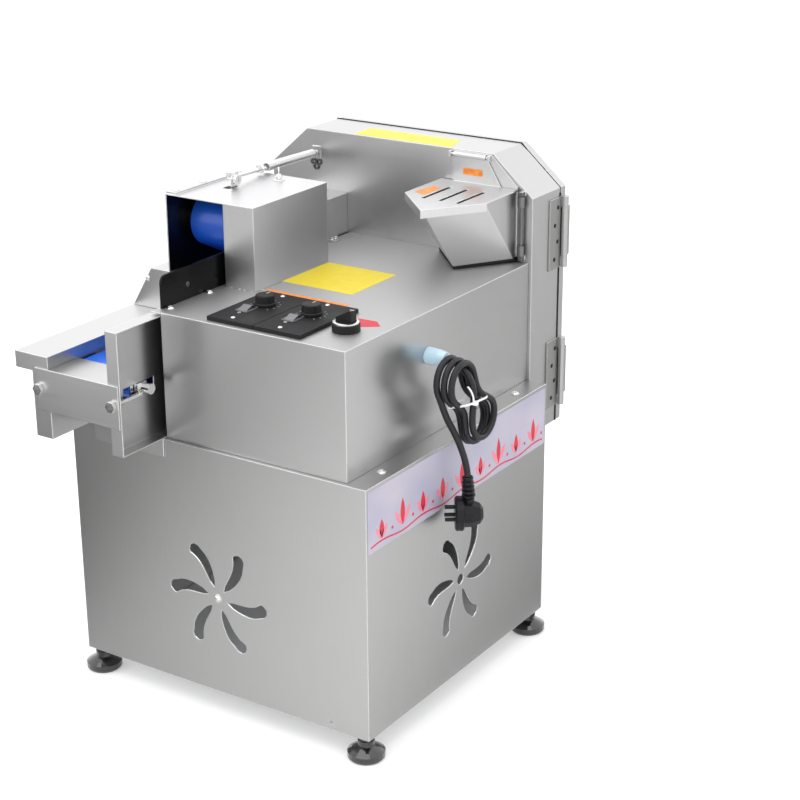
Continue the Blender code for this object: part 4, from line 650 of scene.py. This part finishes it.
def ringPart(centre, normal, radius, wire, segments=8):
    side, up, _ = axisFrame(normal)
    path = np.asarray(centre, float) + radius * circleLine(side, up, fullTurn(28))
    return tubePart(path, wire, segments, ring=True, hint=normal)


# Belts: the line round both rollers, carried across the belt's width

belts = {
    # roller centres as (Y, Z), their radii with the belt on, the belt's thickness and its two edges
    "conveyor": {
        "front": (-0.018, 0.448), "rear": (0.405, 0.448), "frontRadius": 0.0178, "rearRadius": 0.0178,
        "thickness": 0.0018, "left": 0.042, "right": 0.134,
        "body": "machine", "node": "conveyor_belt", "finish": "troughBlue",
    },
    "press": {
        "front": (0.205, 0.607), "rear": (0.405, 0.488), "frontRadius": 0.035, "rearRadius": 0.018,
        "thickness": 0.002, "left": 0.0745, "right": 0.1325,
        "body": "press_arm", "node": "press_belt", "finish": "beltBlue",
    },
}


def makeBelt(name, look):
    # open belt: an arc round each roller and the two tangents, outer face out and back along the inner
    front, rear = np.array(look["front"]), np.array(look["rear"])
    chord = rear - front
    heading = math.atan2(chord[1], chord[0])
    lean = math.acos((look["frontRadius"] - look["rearRadius"]) / np.linalg.norm(chord))

    def loop(inset):
        near = np.linspace(heading + lean, heading + math.tau - lean, 40)
        far = np.linspace(heading - lean, heading + lean, 28)
        nearLine = front + (look["frontRadius"] - inset) * np.stack([np.cos(near), np.sin(near)], axis=1)
        farLine = rear + (look["rearRadius"] - inset) * np.stack([np.cos(far), np.sin(far)], axis=1)
        straight = np.linspace(0, 1, 26)[1:-1, None]
        upper = farLine[-1] + (nearLine[0] - farLine[-1]) * straight
        lower = nearLine[-1] + (farLine[0] - nearLine[-1]) * straight
        return np.concatenate([nearLine, lower, farLine, upper])

    left, right, thickness = look["left"], look["right"], look["thickness"]
    ease = thickness * 0.3
    across = ((left, ease), (left + ease, 0.0), (right - ease, 0.0), (right, ease), (right, thickness - ease),
              (right - ease, thickness), (left + ease, thickness), (left, thickness - ease))
    lines = [np.insert(loop(inset), 0, x, axis=1) for x, inset in across]
    part = skin(corner + np.stack(lines, axis=1), ring=True)
    piece = makePiece(name, [part], look["finish"], look["body"], 35)
    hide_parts(look["node"])


for beltName, beltLook in belts.items():
    makeBelt(beltName + "Belt", beltLook)
print("belts")


# Tension spring: a close helix with an open hook at each end

spring = {
    "start": (0.10441, 0.29195, 0.66105),
    "end": (0.088, 0.436, 0.652),
    "hook": 0.0085,
    "radius": 0.0054,
    "wire": 0.00105,
    "turns": 54,
}


def makeSpring(look):
    start, end = place(*look["start"]), place(*look["end"])
    axis = (end - start) / np.linalg.norm(end - start)
    side, up, _ = axisFrame(axis)
    first, last = start + axis * look["hook"], end - axis * look["hook"]
    share = np.linspace(0, 1, look["turns"] * 16 + 1)[:, None]
    angle = share * look["turns"] * math.tau
    coil = first + (last - first) * share + look["radius"] * (np.cos(angle) * side + np.sin(angle) * up)
    parts = [tubePart(coil, look["wire"], 7, hint=axis)]
    for centre, outwards in ((first, -axis), (last, axis)):
        # hook: rises from the last coil to the axis and turns on round the eye
        bend = np.linspace(-90, 170, 20)[:, None] * math.pi / 180
        reach = look["hook"] * 0.52
        path = centre + outwards * (reach + reach * np.sin(bend)) + side * look["radius"] * 0.8 * np.cos(bend)
        parts.append(tubePart(path, look["wire"], 7, hint=up))
    piece = makePiece("coilSpring", parts, "platedWire", None, 60)
    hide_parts("tension_spring")
    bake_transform(piece)


makeSpring(spring)


# Screws, nuts and rivets

screws = {
    # radius, height, normal, finish and places
    "panel": (0.0031, 0.0016, (0, 0, 1), "polished", [
        (0.2560, 0.0260, 0.5473), (0.3280, 0.0260, 0.5473),
        (0.2560, 0.1280, 0.5473), (0.3250, 0.1290, 0.5473)]),
    "deck": (0.0050, 0.0030, (0, 0, 1), "polished", [(0.1560, 0.0265, 0.5420), (0.1560, 0.1043, 0.5420)]),
    "ledge": (0.0058, 0.0030, (0, 0, 1), "polished", [(0.4515, 0.0580, 0.3745), (0.4515, 0.3830, 0.3745)]),
    "coverBar": (0.0052, 0.0026, (0, 0, 1), "polished", [
        (0.0695, 0.1500, 0.6560), (0.0695, 0.2060, 0.6560), (0.0695, 0.2650, 0.6560)]),
    "sidePlate": (0.0036, 0.0014, (1, 0, 0), "darkSteel", [(0.1500, 0.0688, 0.5617)]),
    "sideCover": (0.0042, 0.0020, (0, -1, 0), "polished", [
        (0.0120, 0.1500, 0.5270), (0.0470, 0.1500, 0.5000)]),
}


def makeScrews():
    for name, (radius, height, normal, finish, places) in screws.items():
        parts = [domedScrew(place(*point), normal, radius, height, 0.35 + 0.8 * number)
                 for number, point in enumerate(places)]
        makePiece(name + "Screws", parts, finish, sharp=32)


makeScrews()

fittings = {
    "rivet": (0.2340, 0.0, 0.1690),
    "rivetProfile": [(0.0064, 0), (0.0064, 0.0008), (0.0056, 0.0012), (0.0048, 0.0009), (0.0046, 0.0018),
                     (0.0036, 0.0028), (0.0018, 0.0033), (0.0004, 0.0034)],
    "stud": (0.1444, 0.2745, 0.6530),
    "studProfile": [(0.0012, 0), (0.0012, 0.0090), (0.0007, 0.0100)],
    "ductBolts": [(0.1485, 0.3880, 0.5441), (0.1485, 0.3965, 0.5441)],
    "anchorRings": [(0.0828, 0.4380, 0.6384, 0.0036), (0.0920, 0.4380, 0.6384, 0.0036),
                    (0.0874, 0.4380, 0.6314, 0.0037)],
    "ringWire": 0.0010,
    "lugNut": (0.1175, 0.2130, 0.6635),
    "hingeEnd": 0.515,
    "hingeHoles": ((0.016, 0.014), (0.008, 0.038), (0.016, 0.062), (0.008, 0.086)),
    "leafThickness": 0.0020,
}


def makeFittings(look):
    up = (0, 0, 1)
    # rivet in the hub of the front vent: ring, dish and domed head
    rivet = turnedPart(look["rivetProfile"], place(*look["rivet"]), (0, -1, 0), 32)
    makePiece("ventRivet", [rivet], "polished", sharp=50)

    # capped nut on a washer, with its thin stud, on top of the roller cover
    foot, thickness = place(*look["stud"]), 0.0012
    parts = [washerPart(foot, up, 0.0078, thickness),
             *cappedNut(foot + (0, 0, thickness), up, 0.0100, 0.0078),
             turnedPart(look["studProfile"], foot + (0, 0, 0.0080), up, 12)]
    makePiece("coverNut", parts, "polished", sharp=35)

    parts, thickness = [], 0.0007
    for point in look["ductBolts"]:
        parts.append(washerPart(place(*point), up, 0.0042, thickness))
        parts.append(hexPart(place(*point) + (0, 0, thickness), up, 0.0064, 0.0028, 0.3))
    makePiece("ductBolts", parts, "polished", sharp=35)

    # three small rings that hang on the spring's anchor
    parts = [ringPart(place(x, y, z), (0, 1, 0), radius, look["ringWire"])
             for x, y, z, radius in look["anchorRings"]]
    makePiece("anchorRings", parts, "darkSteel", sharp=60)

    # nut with an open bore on the spring lever
    foot, thickness = place(*look["lugNut"]), 0.0010
    parts = [washerPart(foot, (1, 0, 0), 0.0085, thickness),
             hexPart(foot + (thickness, 0, 0), (1, 0, 0), 0.0125, 0.0055, 0.2, 0.0026)]
    makePiece("leverNut", parts, "polished", "press_arm", 35)

    # countersunk screws in the holes of both hinges, by distance from the leaf's end and from its foot
    end = place(0, look["hingeEnd"], 0)[1]
    for level in ("upper", "lower"):
        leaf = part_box(f"hinge_{level}_casing_leaf")[0]
        parts = [domedScrew((leaf.x + look["leafThickness"], end - inset, leaf.z + lift), (1, 0, 0),
                            0.0031, 0.0009, 0.5 + number)
                 for number, (inset, lift) in enumerate(look["hingeHoles"])]
        makePiece(f"{level}HingeScrews", parts, "blackMatt", sharp=32)


makeFittings(fittings)
print("screws and fittings")


# Printed sheets and stickers, plain, without lettering

stickers = {
    # finish, body, height of the carrying face and the outline's corners in order
    "noticePatch": ("yellowPrint", "machine", 0.5420, [
        (0.190, 0.194), (0.317, 0.194), (0.317, 0.298), (0.190, 0.298)]),
    "controlStrip": ("orangePrint", "machine", 0.5420, [
        (0.212, 0.1400), (0.346, 0.1400), (0.338, 0.1570), (0.212, 0.1570)]),
    "redPatch": ("redPrint", "machine", 0.5420, [
        (0.3800, 0.1000), (0.4010, 0.0930), (0.4200, 0.1060), (0.4060, 0.1200), (0.3800, 0.1190)]),
    "rimStrip": ("yellowPrint", "machine", 0.6850, [
        (0.1500, 0.4430), (0.3115, 0.4430), (0.3000, 0.4860), (0.1500, 0.4860)]),
    "lidPatch": ("orangePrint", "hopper_lid", 0.6418, [
        (0.3075, 0.3560), (0.3290, 0.3460), (0.3290, 0.3900), (0.3140, 0.3960)]),
}

flapMark = {"place": (0.350, 0.4370, 0.6570), "size": (0.030, 0.009), "proud": 0.0016}
cornerRadius = 0.0012  # of every sticker


def easedCorners(corners, radius, steps=3):
    # each corner becomes a quarter arc between its two edges, as points of a quadratic curve
    corners = np.asarray(corners, float)
    outline = []
    for number, point in enumerate(corners):
        before = corners[number - 1] - point
        after = corners[(number + 1) % len(corners)] - point
        first = point + before / np.linalg.norm(before) * radius
        last = point + after / np.linalg.norm(after) * radius
        share = np.linspace(0, 1, steps + 1)[:, None]
        outline.append((1 - share) ** 2 * first + 2 * share * (1 - share) * point + share ** 2 * last)
    return np.concatenate(outline)


def makeStickers():
    for name, (finish, body, height, corners) in stickers.items():
        outline = easedCorners(corners, cornerRadius)
        part = slabPart(outline, place(0, 0, height), (1, 0, 0), (0, 1, 0), 0.0, 0.00025)
        sheet = makePiece(name, [part], finish, body, 30)
        sheet.visible_glossy = False  # the satin walls mirror none of the print
    # small mark on the hopper's back flap
    outline = roundedOutline(*flapMark["size"], cornerRadius)
    part = slabPart(outline, place(*flapMark["place"]), (1, 0, 0), (0, 0, 1), 0.0, flapMark["proud"])
    makePiece("flapMark", [part], "orangePrint", "hopper_lid", 30)


makeStickers()

banner = {
    "low": (0.003, 0.288),
    "high": (0.437, 0.370),
    "face": 0.4680,
    "thickness": 0.0003,
    "ink": 0.00012,
    "rows": 9,
    "firstFoot": (0.030, 0.012),
    "pitch": 0.0465,
    "petal": (0.034, 0.010),
    "sheaf": ((-0.62, 0.80), (0.0, 1.0), (0.62, 0.80)),  # lean and size of each leaf
    "dotShift": (0.02325, 0.006),
    "dotRadius": 0.0022,
    "waveFoot": (0.006, 0.0075),
    "wave": (0.0022, 28),
    "waveHalfWidth": 0.0011,
}


def turnedOutline(line, turn, centre):
    # an outline about the origin, turned by an angle and moved to its centre
    spin = np.array(((math.cos(turn), math.sin(turn)), (-math.sin(turn), math.cos(turn))))
    return line @ spin + centre


def leafOutline(length, width, turn, centre, steps=9):
    # two shallow arcs that meet in a point at each end
    share = np.linspace(0, 1, steps)
    upper = np.stack([(share - 0.5) * length, width / 2 * np.sin(math.pi * share)], axis=1)
    return turnedOutline(np.concatenate([upper, upper[-2:0:-1] * (1, -1)]), turn, centre)


def circleOutline(radius, steps):
    return radius * circleLine(np.array((1.0, 0.0)), np.array((0.0, 1.0)), fullTurn(steps))


def makeBanner(look):
    # a pale sheet along the cabinet's right wall with a border of leaves, sheaves and dots
    low, high, thickness = np.array(look["low"]), np.array(look["high"]), look["thickness"]
    face = look["face"]
    across, upwards = (0, 1, 0), (0, 0, 1)
    outline = roundedOutline(*(high - low), 0.003) + (low + high) / 2
    sheet = slabPart(outline, place(face, 0, 0), across, upwards, 0.0, thickness)
    makePiece("bannerSheet", [sheet], "bannerPrint", sharp=30)
    red, rose = [], []
    onSheet = (place(face + thickness, 0, 0), across, upwards, 0.0, look["ink"])
    length, width = look["petal"]
    for number in range(look["rows"]):
        # a sheaf of three leaves stands at each step of the border
        foot = low + look["firstFoot"] + (number * look["pitch"], 0)
        tall = 0.75 + 0.35 * math.sin(number * 1.3) ** 2
        for lean, size in look["sheaf"]:
            along = math.pi / 2 - lean
            reach = length * size * tall
            centre = foot + np.array((math.cos(along), math.sin(along))) * reach * 0.52
            leaf = slabPart(leafOutline(reach, width * size, along, centre), *onSheet)
            (rose if lean else red).append(leaf)
        dot = foot + look["dotShift"] + circleOutline(look["dotRadius"], 14)
        red.append(slabPart(dot, *onSheet))
    share = np.linspace(0, 1, 60)
    start, rise = look["waveFoot"]
    height, turns = look["wave"]
    line = np.stack([low[0] + start + share * (high[0] - low[0] - 2 * start),
                     low[1] + rise + height * np.sin(share * turns)], axis=1)
    half = look["waveHalfWidth"]
    red.append(slabPart(np.concatenate([line + (0, half), line[::-1] - (0, half)]), *onSheet))
    makePiece("bannerLeaves", red, "redPrint", sharp=30)
    makePiece("bannerPaleLeaves", rose, "rosePrint", sharp=30)


makeBanner(banner)
print("printed sheets")


# Marks and bezels on the controls

controls = {
    "panelTop": 0.5473,
    "panelLeft": {"left": 0.2245, "right": 0.2955},
    "knob": (0.0345, 0.0875),
    "rocker": (0.0255, 0.0615),
    "ticks": 11,
    "tickRadius": 0.0178,
    "tickTurn": (math.radians(-45), math.radians(225)),
    "tickLength": (0.0022, 0.0034),
    "tickWidth": 0.0006,
    "onMark": (0.0036, 0.0007, 0.0150),
    "offMark": (0.0018, 0.00035, 0.0155),
    "ink": 0.00015,
    "bezel": (0.0185, 0.0265, 0.0018),
    "bezelWall": 0.0022,
    "bezelHeight": (0.0010, 0.0016, 0.0014),
    "pointer": (0.0075, 0.0011, 0.0070),
    "knobTop": 0.56155,
    "selector": (0.3930, 0.0720, 0.5523),
    "selectorBand": [(0.0148, 0), (0.0166, 0), (0.0168, 0.0006), (0.0166, 0.0018), (0.0152, 0.0024),
                     (0.0136, 0.0024), (0.0134, 0.0004)],
    "selectorMark": (0.0060, 0.0016, 0.0090),
    "selectorHeight": 0.0168,
}


def barPart(length, width, turn, centre, height, thickness):
    # a flat bar with eased corners, level, at a height from the floor
    outline = turnedOutline(roundedOutline(length, width, width * 0.35, 2), turn, centre)
    return slabPart(outline, place(0, 0, height), (1, 0, 0), (0, 1, 0), 0.0, thickness)


def makePanel(side, look):
    top, ink = look["panelTop"], look["ink"]
    knob, rocker = (np.array((look["panelLeft"][side], 0.0)) + look[key] for key in ("knob", "rocker"))
    marks = []
    for number, turn in enumerate(np.linspace(*look["tickTurn"], look["ticks"])):
        # ticks on an arc open to the front, every fifth one longer
        reach = look["tickLength"][number % 5 == 0]
        centre = knob + np.array((math.cos(turn), math.sin(turn))) * (look["tickRadius"] + reach / 2)
        marks.append(barPart(reach, look["tickWidth"], turn, centre, top, ink))
    # on and off marks beside the rocker
    length, width, lift = look["onMark"]
    marks.append(barPart(length, width, math.pi / 2, rocker + (0, lift), top, ink))
    radius, wire, drop = look["offMark"]
    circle = np.insert(rocker - (0, drop) + circleOutline(radius, 24), 2, top + 0.0001, axis=1)
    marks.append(tubePart(corner + circle, wire, 6, ring=True))
    makePiece(side + "PanelMarks", marks, "whitePrint", sharp=30)

    # bezel round the rocker: a low rounded frame
    width, height, radius = look["bezel"]
    wall = look["bezelWall"]
    outer = roundedOutline(width, height, radius)
    inner = roundedOutline(width - 2 * wall, height - 2 * wall, 0.0003)
    low, crest, edge = look["bezelHeight"]
    section = ((outer, 0.0), (outer, low), (outer * 0.96, crest), (inner, edge), (inner, 0.0))
    lines = [np.insert(line + rocker, 2, top + lift, axis=1) for line, lift in section]
    bezel = skin(corner + np.stack(lines, axis=1), ring=True)
    makePiece(side + "RockerBezel", [bezel], "bezelGrey", sharp=35)

    # pointer line on the knob's top
    length, width, lift = look["pointer"]
    pointer = barPart(length, width, math.pi / 2, knob + (0, lift), look["knobTop"], 0.00025)
    makePiece(side + "KnobPointer", [pointer], "whitePrint", "speed_knob_" + side, 30)


def makeControls(look):
    for side in look["panelLeft"]:
        makePanel(side, look)
    x, y, z = look["selector"]
    makePiece("selectorRing", [turnedPart(look["selectorBand"], place(x, y, z), (0, 0, 1), 40)], "polished",
              sharp=35)
    length, width, reach = look["selectorMark"]
    mark = barPart(length, width, 0.0, np.array((x + reach, y)), z + look["selectorHeight"], 0.0003)
    makePiece("selectorMark", [mark], "whitePrint", "selector_knob", 30)


makeControls(controls)
print("controls")


# Rubber strip round the foot of the hopper

strip = {
    "line": [(0.3035, 0.4385), (0.3035, 0.4300), (0.3670, 0.3620), (0.4180, 0.4340), (0.4180, 0.4385)],
    # section as (share of the proud distance, share of the height); a row below 0 is set back into the wall
    "section": [(-0.4, 0.1), (-0.4, 0.9), (0.2, 1.0), (0.8, 0.93), (1.0, 0.7), (1.0, 0.3), (0.8, 0.05)],
    "low": 0.5422,
    "high": 0.5482,
    "proud": 0.0030,
}


def makeStrip(look):
    # a rounded rubber section carried along the hopper's bottom edge
    line = np.array(look["line"])
    heading = np.gradient(line, axis=0)
    heading = heading / np.linalg.norm(heading, axis=1)[:, None]
    outwards = np.stack([heading[:, 1], -heading[:, 0]], axis=1)
    outwards[0], outwards[-1] = (-1, 0), (1, 0)
    section = np.array(look["section"])
    plan = line[:, None, :] + look["proud"] * section[None, :, :1] * outwards[:, None, :]
    lift = look["low"] + (look["high"] - look["low"]) * section[:, 1]
    grid = np.concatenate([plan, np.broadcast_to(lift[None, :, None], (*plan.shape[:2], 1))], axis=2)
    makePiece("hopperStrip", [skin(corner + grid)], "blackRubber", "feed_hopper")


makeStrip(strip)


# Weld beads under the roller cover's front edge

beads = {
    "places": [(0.1660, 0.1367), (0.1790, 0.1366), (0.1865, 0.1367), (0.1995, 0.1366), (0.2058, 0.1520)],
    "size": (0.0026, 0.0010, 0.0007),
    "level": 0.5420,
    "steps": (6, 16),
}


def makeBeads(look):
    # flattened half balls: x = a cos u cos v, y = b sin u cos v, z = c sin v; the last one lies along Y
    rows, columns = look["steps"]
    around = fullTurn(columns)[None]
    rise = np.linspace(0, math.pi / 2 - 0.08, rows)[:, None]
    ball = np.stack([np.cos(around) * np.cos(rise), np.sin(around) * np.cos(rise),
                     np.broadcast_to(np.sin(rise), (rows, columns))], axis=-1)
    parts = []
    for number, (x, y) in enumerate(look["places"]):
        size = np.array(look["size"]) * (0.85 + 0.25 * math.sin(number * 2.1) ** 2)
        if number == len(look["places"]) - 1:
            size = size[[1, 0, 2]]
        parts.append(skin(place(x, y, look["level"]) + size * ball))
    makePiece("weldBeads", parts, "coverSteel", sharp=60)


makeBeads(beads)

# Rubber line between casing and door

gasketLine = {
    # casing outline seen from the front, and the seam between casing and door
    "outline": [(0.010, 0.291), (0.010, 0.623), (0.072, 0.685), (0.3795, 0.685), (0.4415, 0.623),
                (0.4415, 0.291)],
    "seam": (0.5138, 0.5181),
    "proud": 0.0011,
    "rooted": 0.0012,
}


def makeGasketLine(look):
    # a half round rubber bead carried along the outline, pushed out along the mitred normals
    outline = np.array(look["outline"])
    edges = np.diff(outline, axis=0)
    normals = np.stack([-edges[:, 1], edges[:, 0]], axis=1) / np.linalg.norm(edges, axis=1)[:, None]
    mitre = np.concatenate([normals[:1], normals[:-1] + normals[1:], normals[-1:]])
    mitre = mitre / (mitre ** 2).sum(axis=1)[:, None]
    mitre[1:-1] *= 2
    front, rear = look["seam"]
    turn = np.linspace(0, math.pi, 6)
    lift = np.concatenate([[-look["rooted"]], look["proud"] * np.sin(turn), [-look["rooted"]]])
    depth = np.concatenate([[front], (front + rear) / 2 - (rear - front) / 2 * np.cos(turn), [rear]])
    plan = outline[:, None, :] + mitre[:, None, :] * lift[None, :, None]
    grid = np.stack([plan[..., 0], np.broadcast_to(depth, plan.shape[:2]), plan[..., 1]], axis=-1)
    makePiece("gasketLine", [skin(corner + grid)], "blackRubber", sharp=50)


makeGasketLine(gasketLine)

feet = {"flats": 0.0185, "height": 0.0056, "low": 0.0258, "turn": 0.26}


def makeFootNuts(look):
    for name in nodesByFinish["footBlack"].split():
        low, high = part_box(name)
        middle = ((low.x + high.x) / 2, (low.y + high.y) / 2, look["low"])
        nut = hexPart(middle, (0, 0, 1), look["flats"], look["height"], look["turn"])
        makePiece(name.replace("foot_", "").replace("_", "") + "FootNut", [nut], "darkSteel", name, 35)


makeFootNuts(feet)
print("strip, beads, gasket line and foot nuts")


# Mains cord: lead, hank of three and a half turns, and the end that hangs with the plug

cord = {
    "diameter": 0.0086,
    "exit": (0.4640, 0.1860, 0.4850),
    "layers": (0.4748, 0.4840, 0.4932, 0.5024),
    # each fold's shift across and along, and its layer, from the lower outer one up and down by turns
    "folds": [(0.0045, -0.0060, 3), (0.0010, 0.0045, 2), (0.0, -0.0010, 2), (0.0, 0.0010, 1),
              (0.0030, 0.0050, 1), (-0.0010, -0.0020, 0)],
    "upperCentre": (0.1756, 0.4628),
    "lowerCentre": (0.2134, 0.3992),
    "foldRadius": 0.0268,
    "pinch": 0.0098,
    "leadLean": math.radians(25),
    "tailBend": (-0.0335, 0.0120, 0.4800),
    "tailHeading": (-0.22, 0.90, 0.38),
    "reliefTop": (0.5040, 0.1741, 0.3401),
    "reliefHeading": (0.0, 0.099, -0.995),
}


def hankFrame(look):
    # the hank's middle and half length, and its directions along and across in the Y-Z plane
    upper = np.array(look["upperCentre"])
    lower = np.array(look["lowerCentre"])
    half = np.linalg.norm(lower - upper) / 2
    along = (lower - upper) / (2 * half)
    return (upper + lower) / 2, half, along, np.array((-along[1], along[0]))


def cordRoute(look):
    # worked in the hank's own plane: across to the right, along downwards, and X outwards
    middle, half, along, across = hankFrame(look)
    exitX = look["exit"][0]
    gland = np.array(look["exit"][1:]) - middle
    gland = np.array((gland @ across, gland @ along, exitX))
    bend = look["layers"][-1] - exitX
    lean = look["leadLean"]
    leadHeading = np.array((-math.sin(lean), math.cos(lean), 0.0))

    def lead():
        # quarter circle from straight out of the gland to the leaning run
        turn = np.linspace(0, math.pi / 2, 12)[:, None]
        return gland + bend * (1 - np.cos(turn)) * leadHeading + bend * np.sin(turn) * np.array((0, 0, 1.0))

    def side(start, end, pinch, steps=9):
        # straight run eased from start to end, pulled inwards halfway by the tie
        share = np.linspace(0, 1, steps + 2)[1:-1]
        ease = share * share * (3 - 2 * share)
        line = np.array(start) + (np.array(end) - np.array(start)) * ease[:, None]
        line[:, 1] = start[1] + (end[1] - start[1]) * share
        line[:, 0] -= np.sign(start[0]) * pinch * np.sin(math.pi * share) ** 2
        return line

    def fold(sign, shift, slip, layer):
        # half circle, left to right below (sign 1) and right to left above (sign -1)
        turn = np.linspace(0, math.pi, 14)
        radius = look["foldRadius"]
        return np.stack([shift - sign * radius * np.cos(turn),
                         sign * half + slip + sign * radius * np.sin(turn),
                         np.full(14, look["layers"][layer])], axis=1)

    folds = [fold((-1) ** number, *values) for number, values in enumerate(look["folds"])]
    route = [lead()]
    route.append(hermiteLine(route[0][-1], leadHeading, folds[0][0], (0, 1, 0), 8)[:-1])
    for position, turn in enumerate(folds):
        route.append(turn)
        if position + 1 < len(folds):
            route.append(side(turn[-1], folds[position + 1][0], look["pinch"]))
    top = np.array(look["reliefTop"])
    target = np.array(((top[1:] - middle) @ across, (top[1:] - middle) @ along, top[0]))
    heading = np.array(look["reliefHeading"])
    arrival = np.array((heading[1:] @ across, heading[1:] @ along, heading[0]))
    tailBend, tailHeading = np.array(look["tailBend"]), np.array(look["tailHeading"])
    route.append(hermiteLine(folds[-1][-1], (0, 1, 0), tailBend, tailHeading, 8))
    route.append(hermiteLine(tailBend, tailHeading, target, arrival, 10))
    flat = np.concatenate(route)
    plane = middle + flat[:, 0, None] * across + flat[:, 1, None] * along
    return corner + np.column_stack([flat[:, 2], plane])


tie = {
    # shifts from the hank's middle, lean and tilt, and the exponent that rounds the band's corners
    "along": 0.0000,
    "across": -0.0020,
    "lean": math.radians(-4),
    "tilt": math.radians(18),
    "corner": 0.45,
    "halfWidth": 0.0262,
    "halfDepth": 0.0214,
    "band": 0.0030,
    "thickness": 0.0011,
    "head": (0.0072, 0.0052, 0.0044),
    "headRadius": 0.0012,
    "headShare": 0.5,
    "tail": 0.024,
    "tailDrift": (0.010, 0.004),
    "taper": 0.9,
}


def makeTie(look):
    # a nylon band round the hank: superellipse of its half width and half depth, a head and a cut end
    middle, _, along, across = hankFrame(cord)
    plane = middle + along * look["along"] + across * look["across"]
    depth = (cord["layers"][0] + cord["layers"][-1]) / 2
    centre = place(depth, *plane)
    right = np.array((0.0, math.cos(look["lean"]), math.sin(look["lean"])))
    down = np.array((0.0, math.sin(look["lean"]), -math.cos(look["lean"])))
    out = np.array((math.cos(look["tilt"]), 0.0, 0.0)) - down * math.sin(look["tilt"])
    angle = fullTurn(64)
    cosine, sine = np.cos(angle), np.sin(angle)
    wide = np.sign(cosine) * abs(cosine) ** look["corner"] * look["halfWidth"]
    deep = np.sign(sine) * abs(sine) ** look["corner"] * look["halfDepth"]
    line = centre + wide[:, None] * right + deep[:, None] * out
    unit = np.stack([cosine / look["halfWidth"], sine / look["halfDepth"]], axis=1)
    unit = unit / np.linalg.norm(unit, axis=1)[:, None]
    normal = unit[:, :1] * right + unit[:, 1:] * out
    half, thickness, taper = look["band"] / 2, look["thickness"], look["taper"]
    rows = [line + normal * lift + down * shift for lift, shift in (
        (0, -half), (thickness, -half * taper), (thickness, half * taper), (0, half))]
    long, tall, thick = look["head"]
    headAt = centre + out * look["halfDepth"] - right * look["halfWidth"] * look["headShare"]
    head = slabPart(roundedOutline(long, tall, look["headRadius"]), headAt, right, down, -thick, 0.0004)
    share = np.linspace(0, 1, 9)[:, None]
    aside, inwards = look["tailDrift"]
    tail = headAt - down * look["tail"] * share - (right * aside + out * inwards) * share ** 2
    edge, inner = right * half * taper, out * thickness
    strap = np.stack([tail - edge, tail + edge, tail + edge - inner, tail - edge - inner], axis=1)
    parts = [skin(np.stack(rows, axis=1), ring=True), head, skin(strap)]
    return makePiece("cordTie", parts, "nylonWhite")


def makeCord(look):
    route = cordRoute(look)
    curve = bpy.data.curves.new("mainsCord", "CURVE")
    curve.dimensions = "3D"
    curve.bevel_depth = look["diameter"] / 2
    curve.bevel_resolution = 4
    curve.use_fill_caps = True
    spline = curve.splines.new("POLY")
    spline.points.add(len(route) - 1)
    spline.points.foreach_set("co", np.column_stack([route, np.ones(len(route))]).ravel())
    spline.use_smooth = True
    piece = addObject("mainsCord", curve)
    curve.materials.append(finishes["cordJacket"])
    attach(piece, "machine")
    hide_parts("cord_lead", "cord_hank", "cord_tail")
    makeTie(tie)


makeCord(cord)
print("cord")
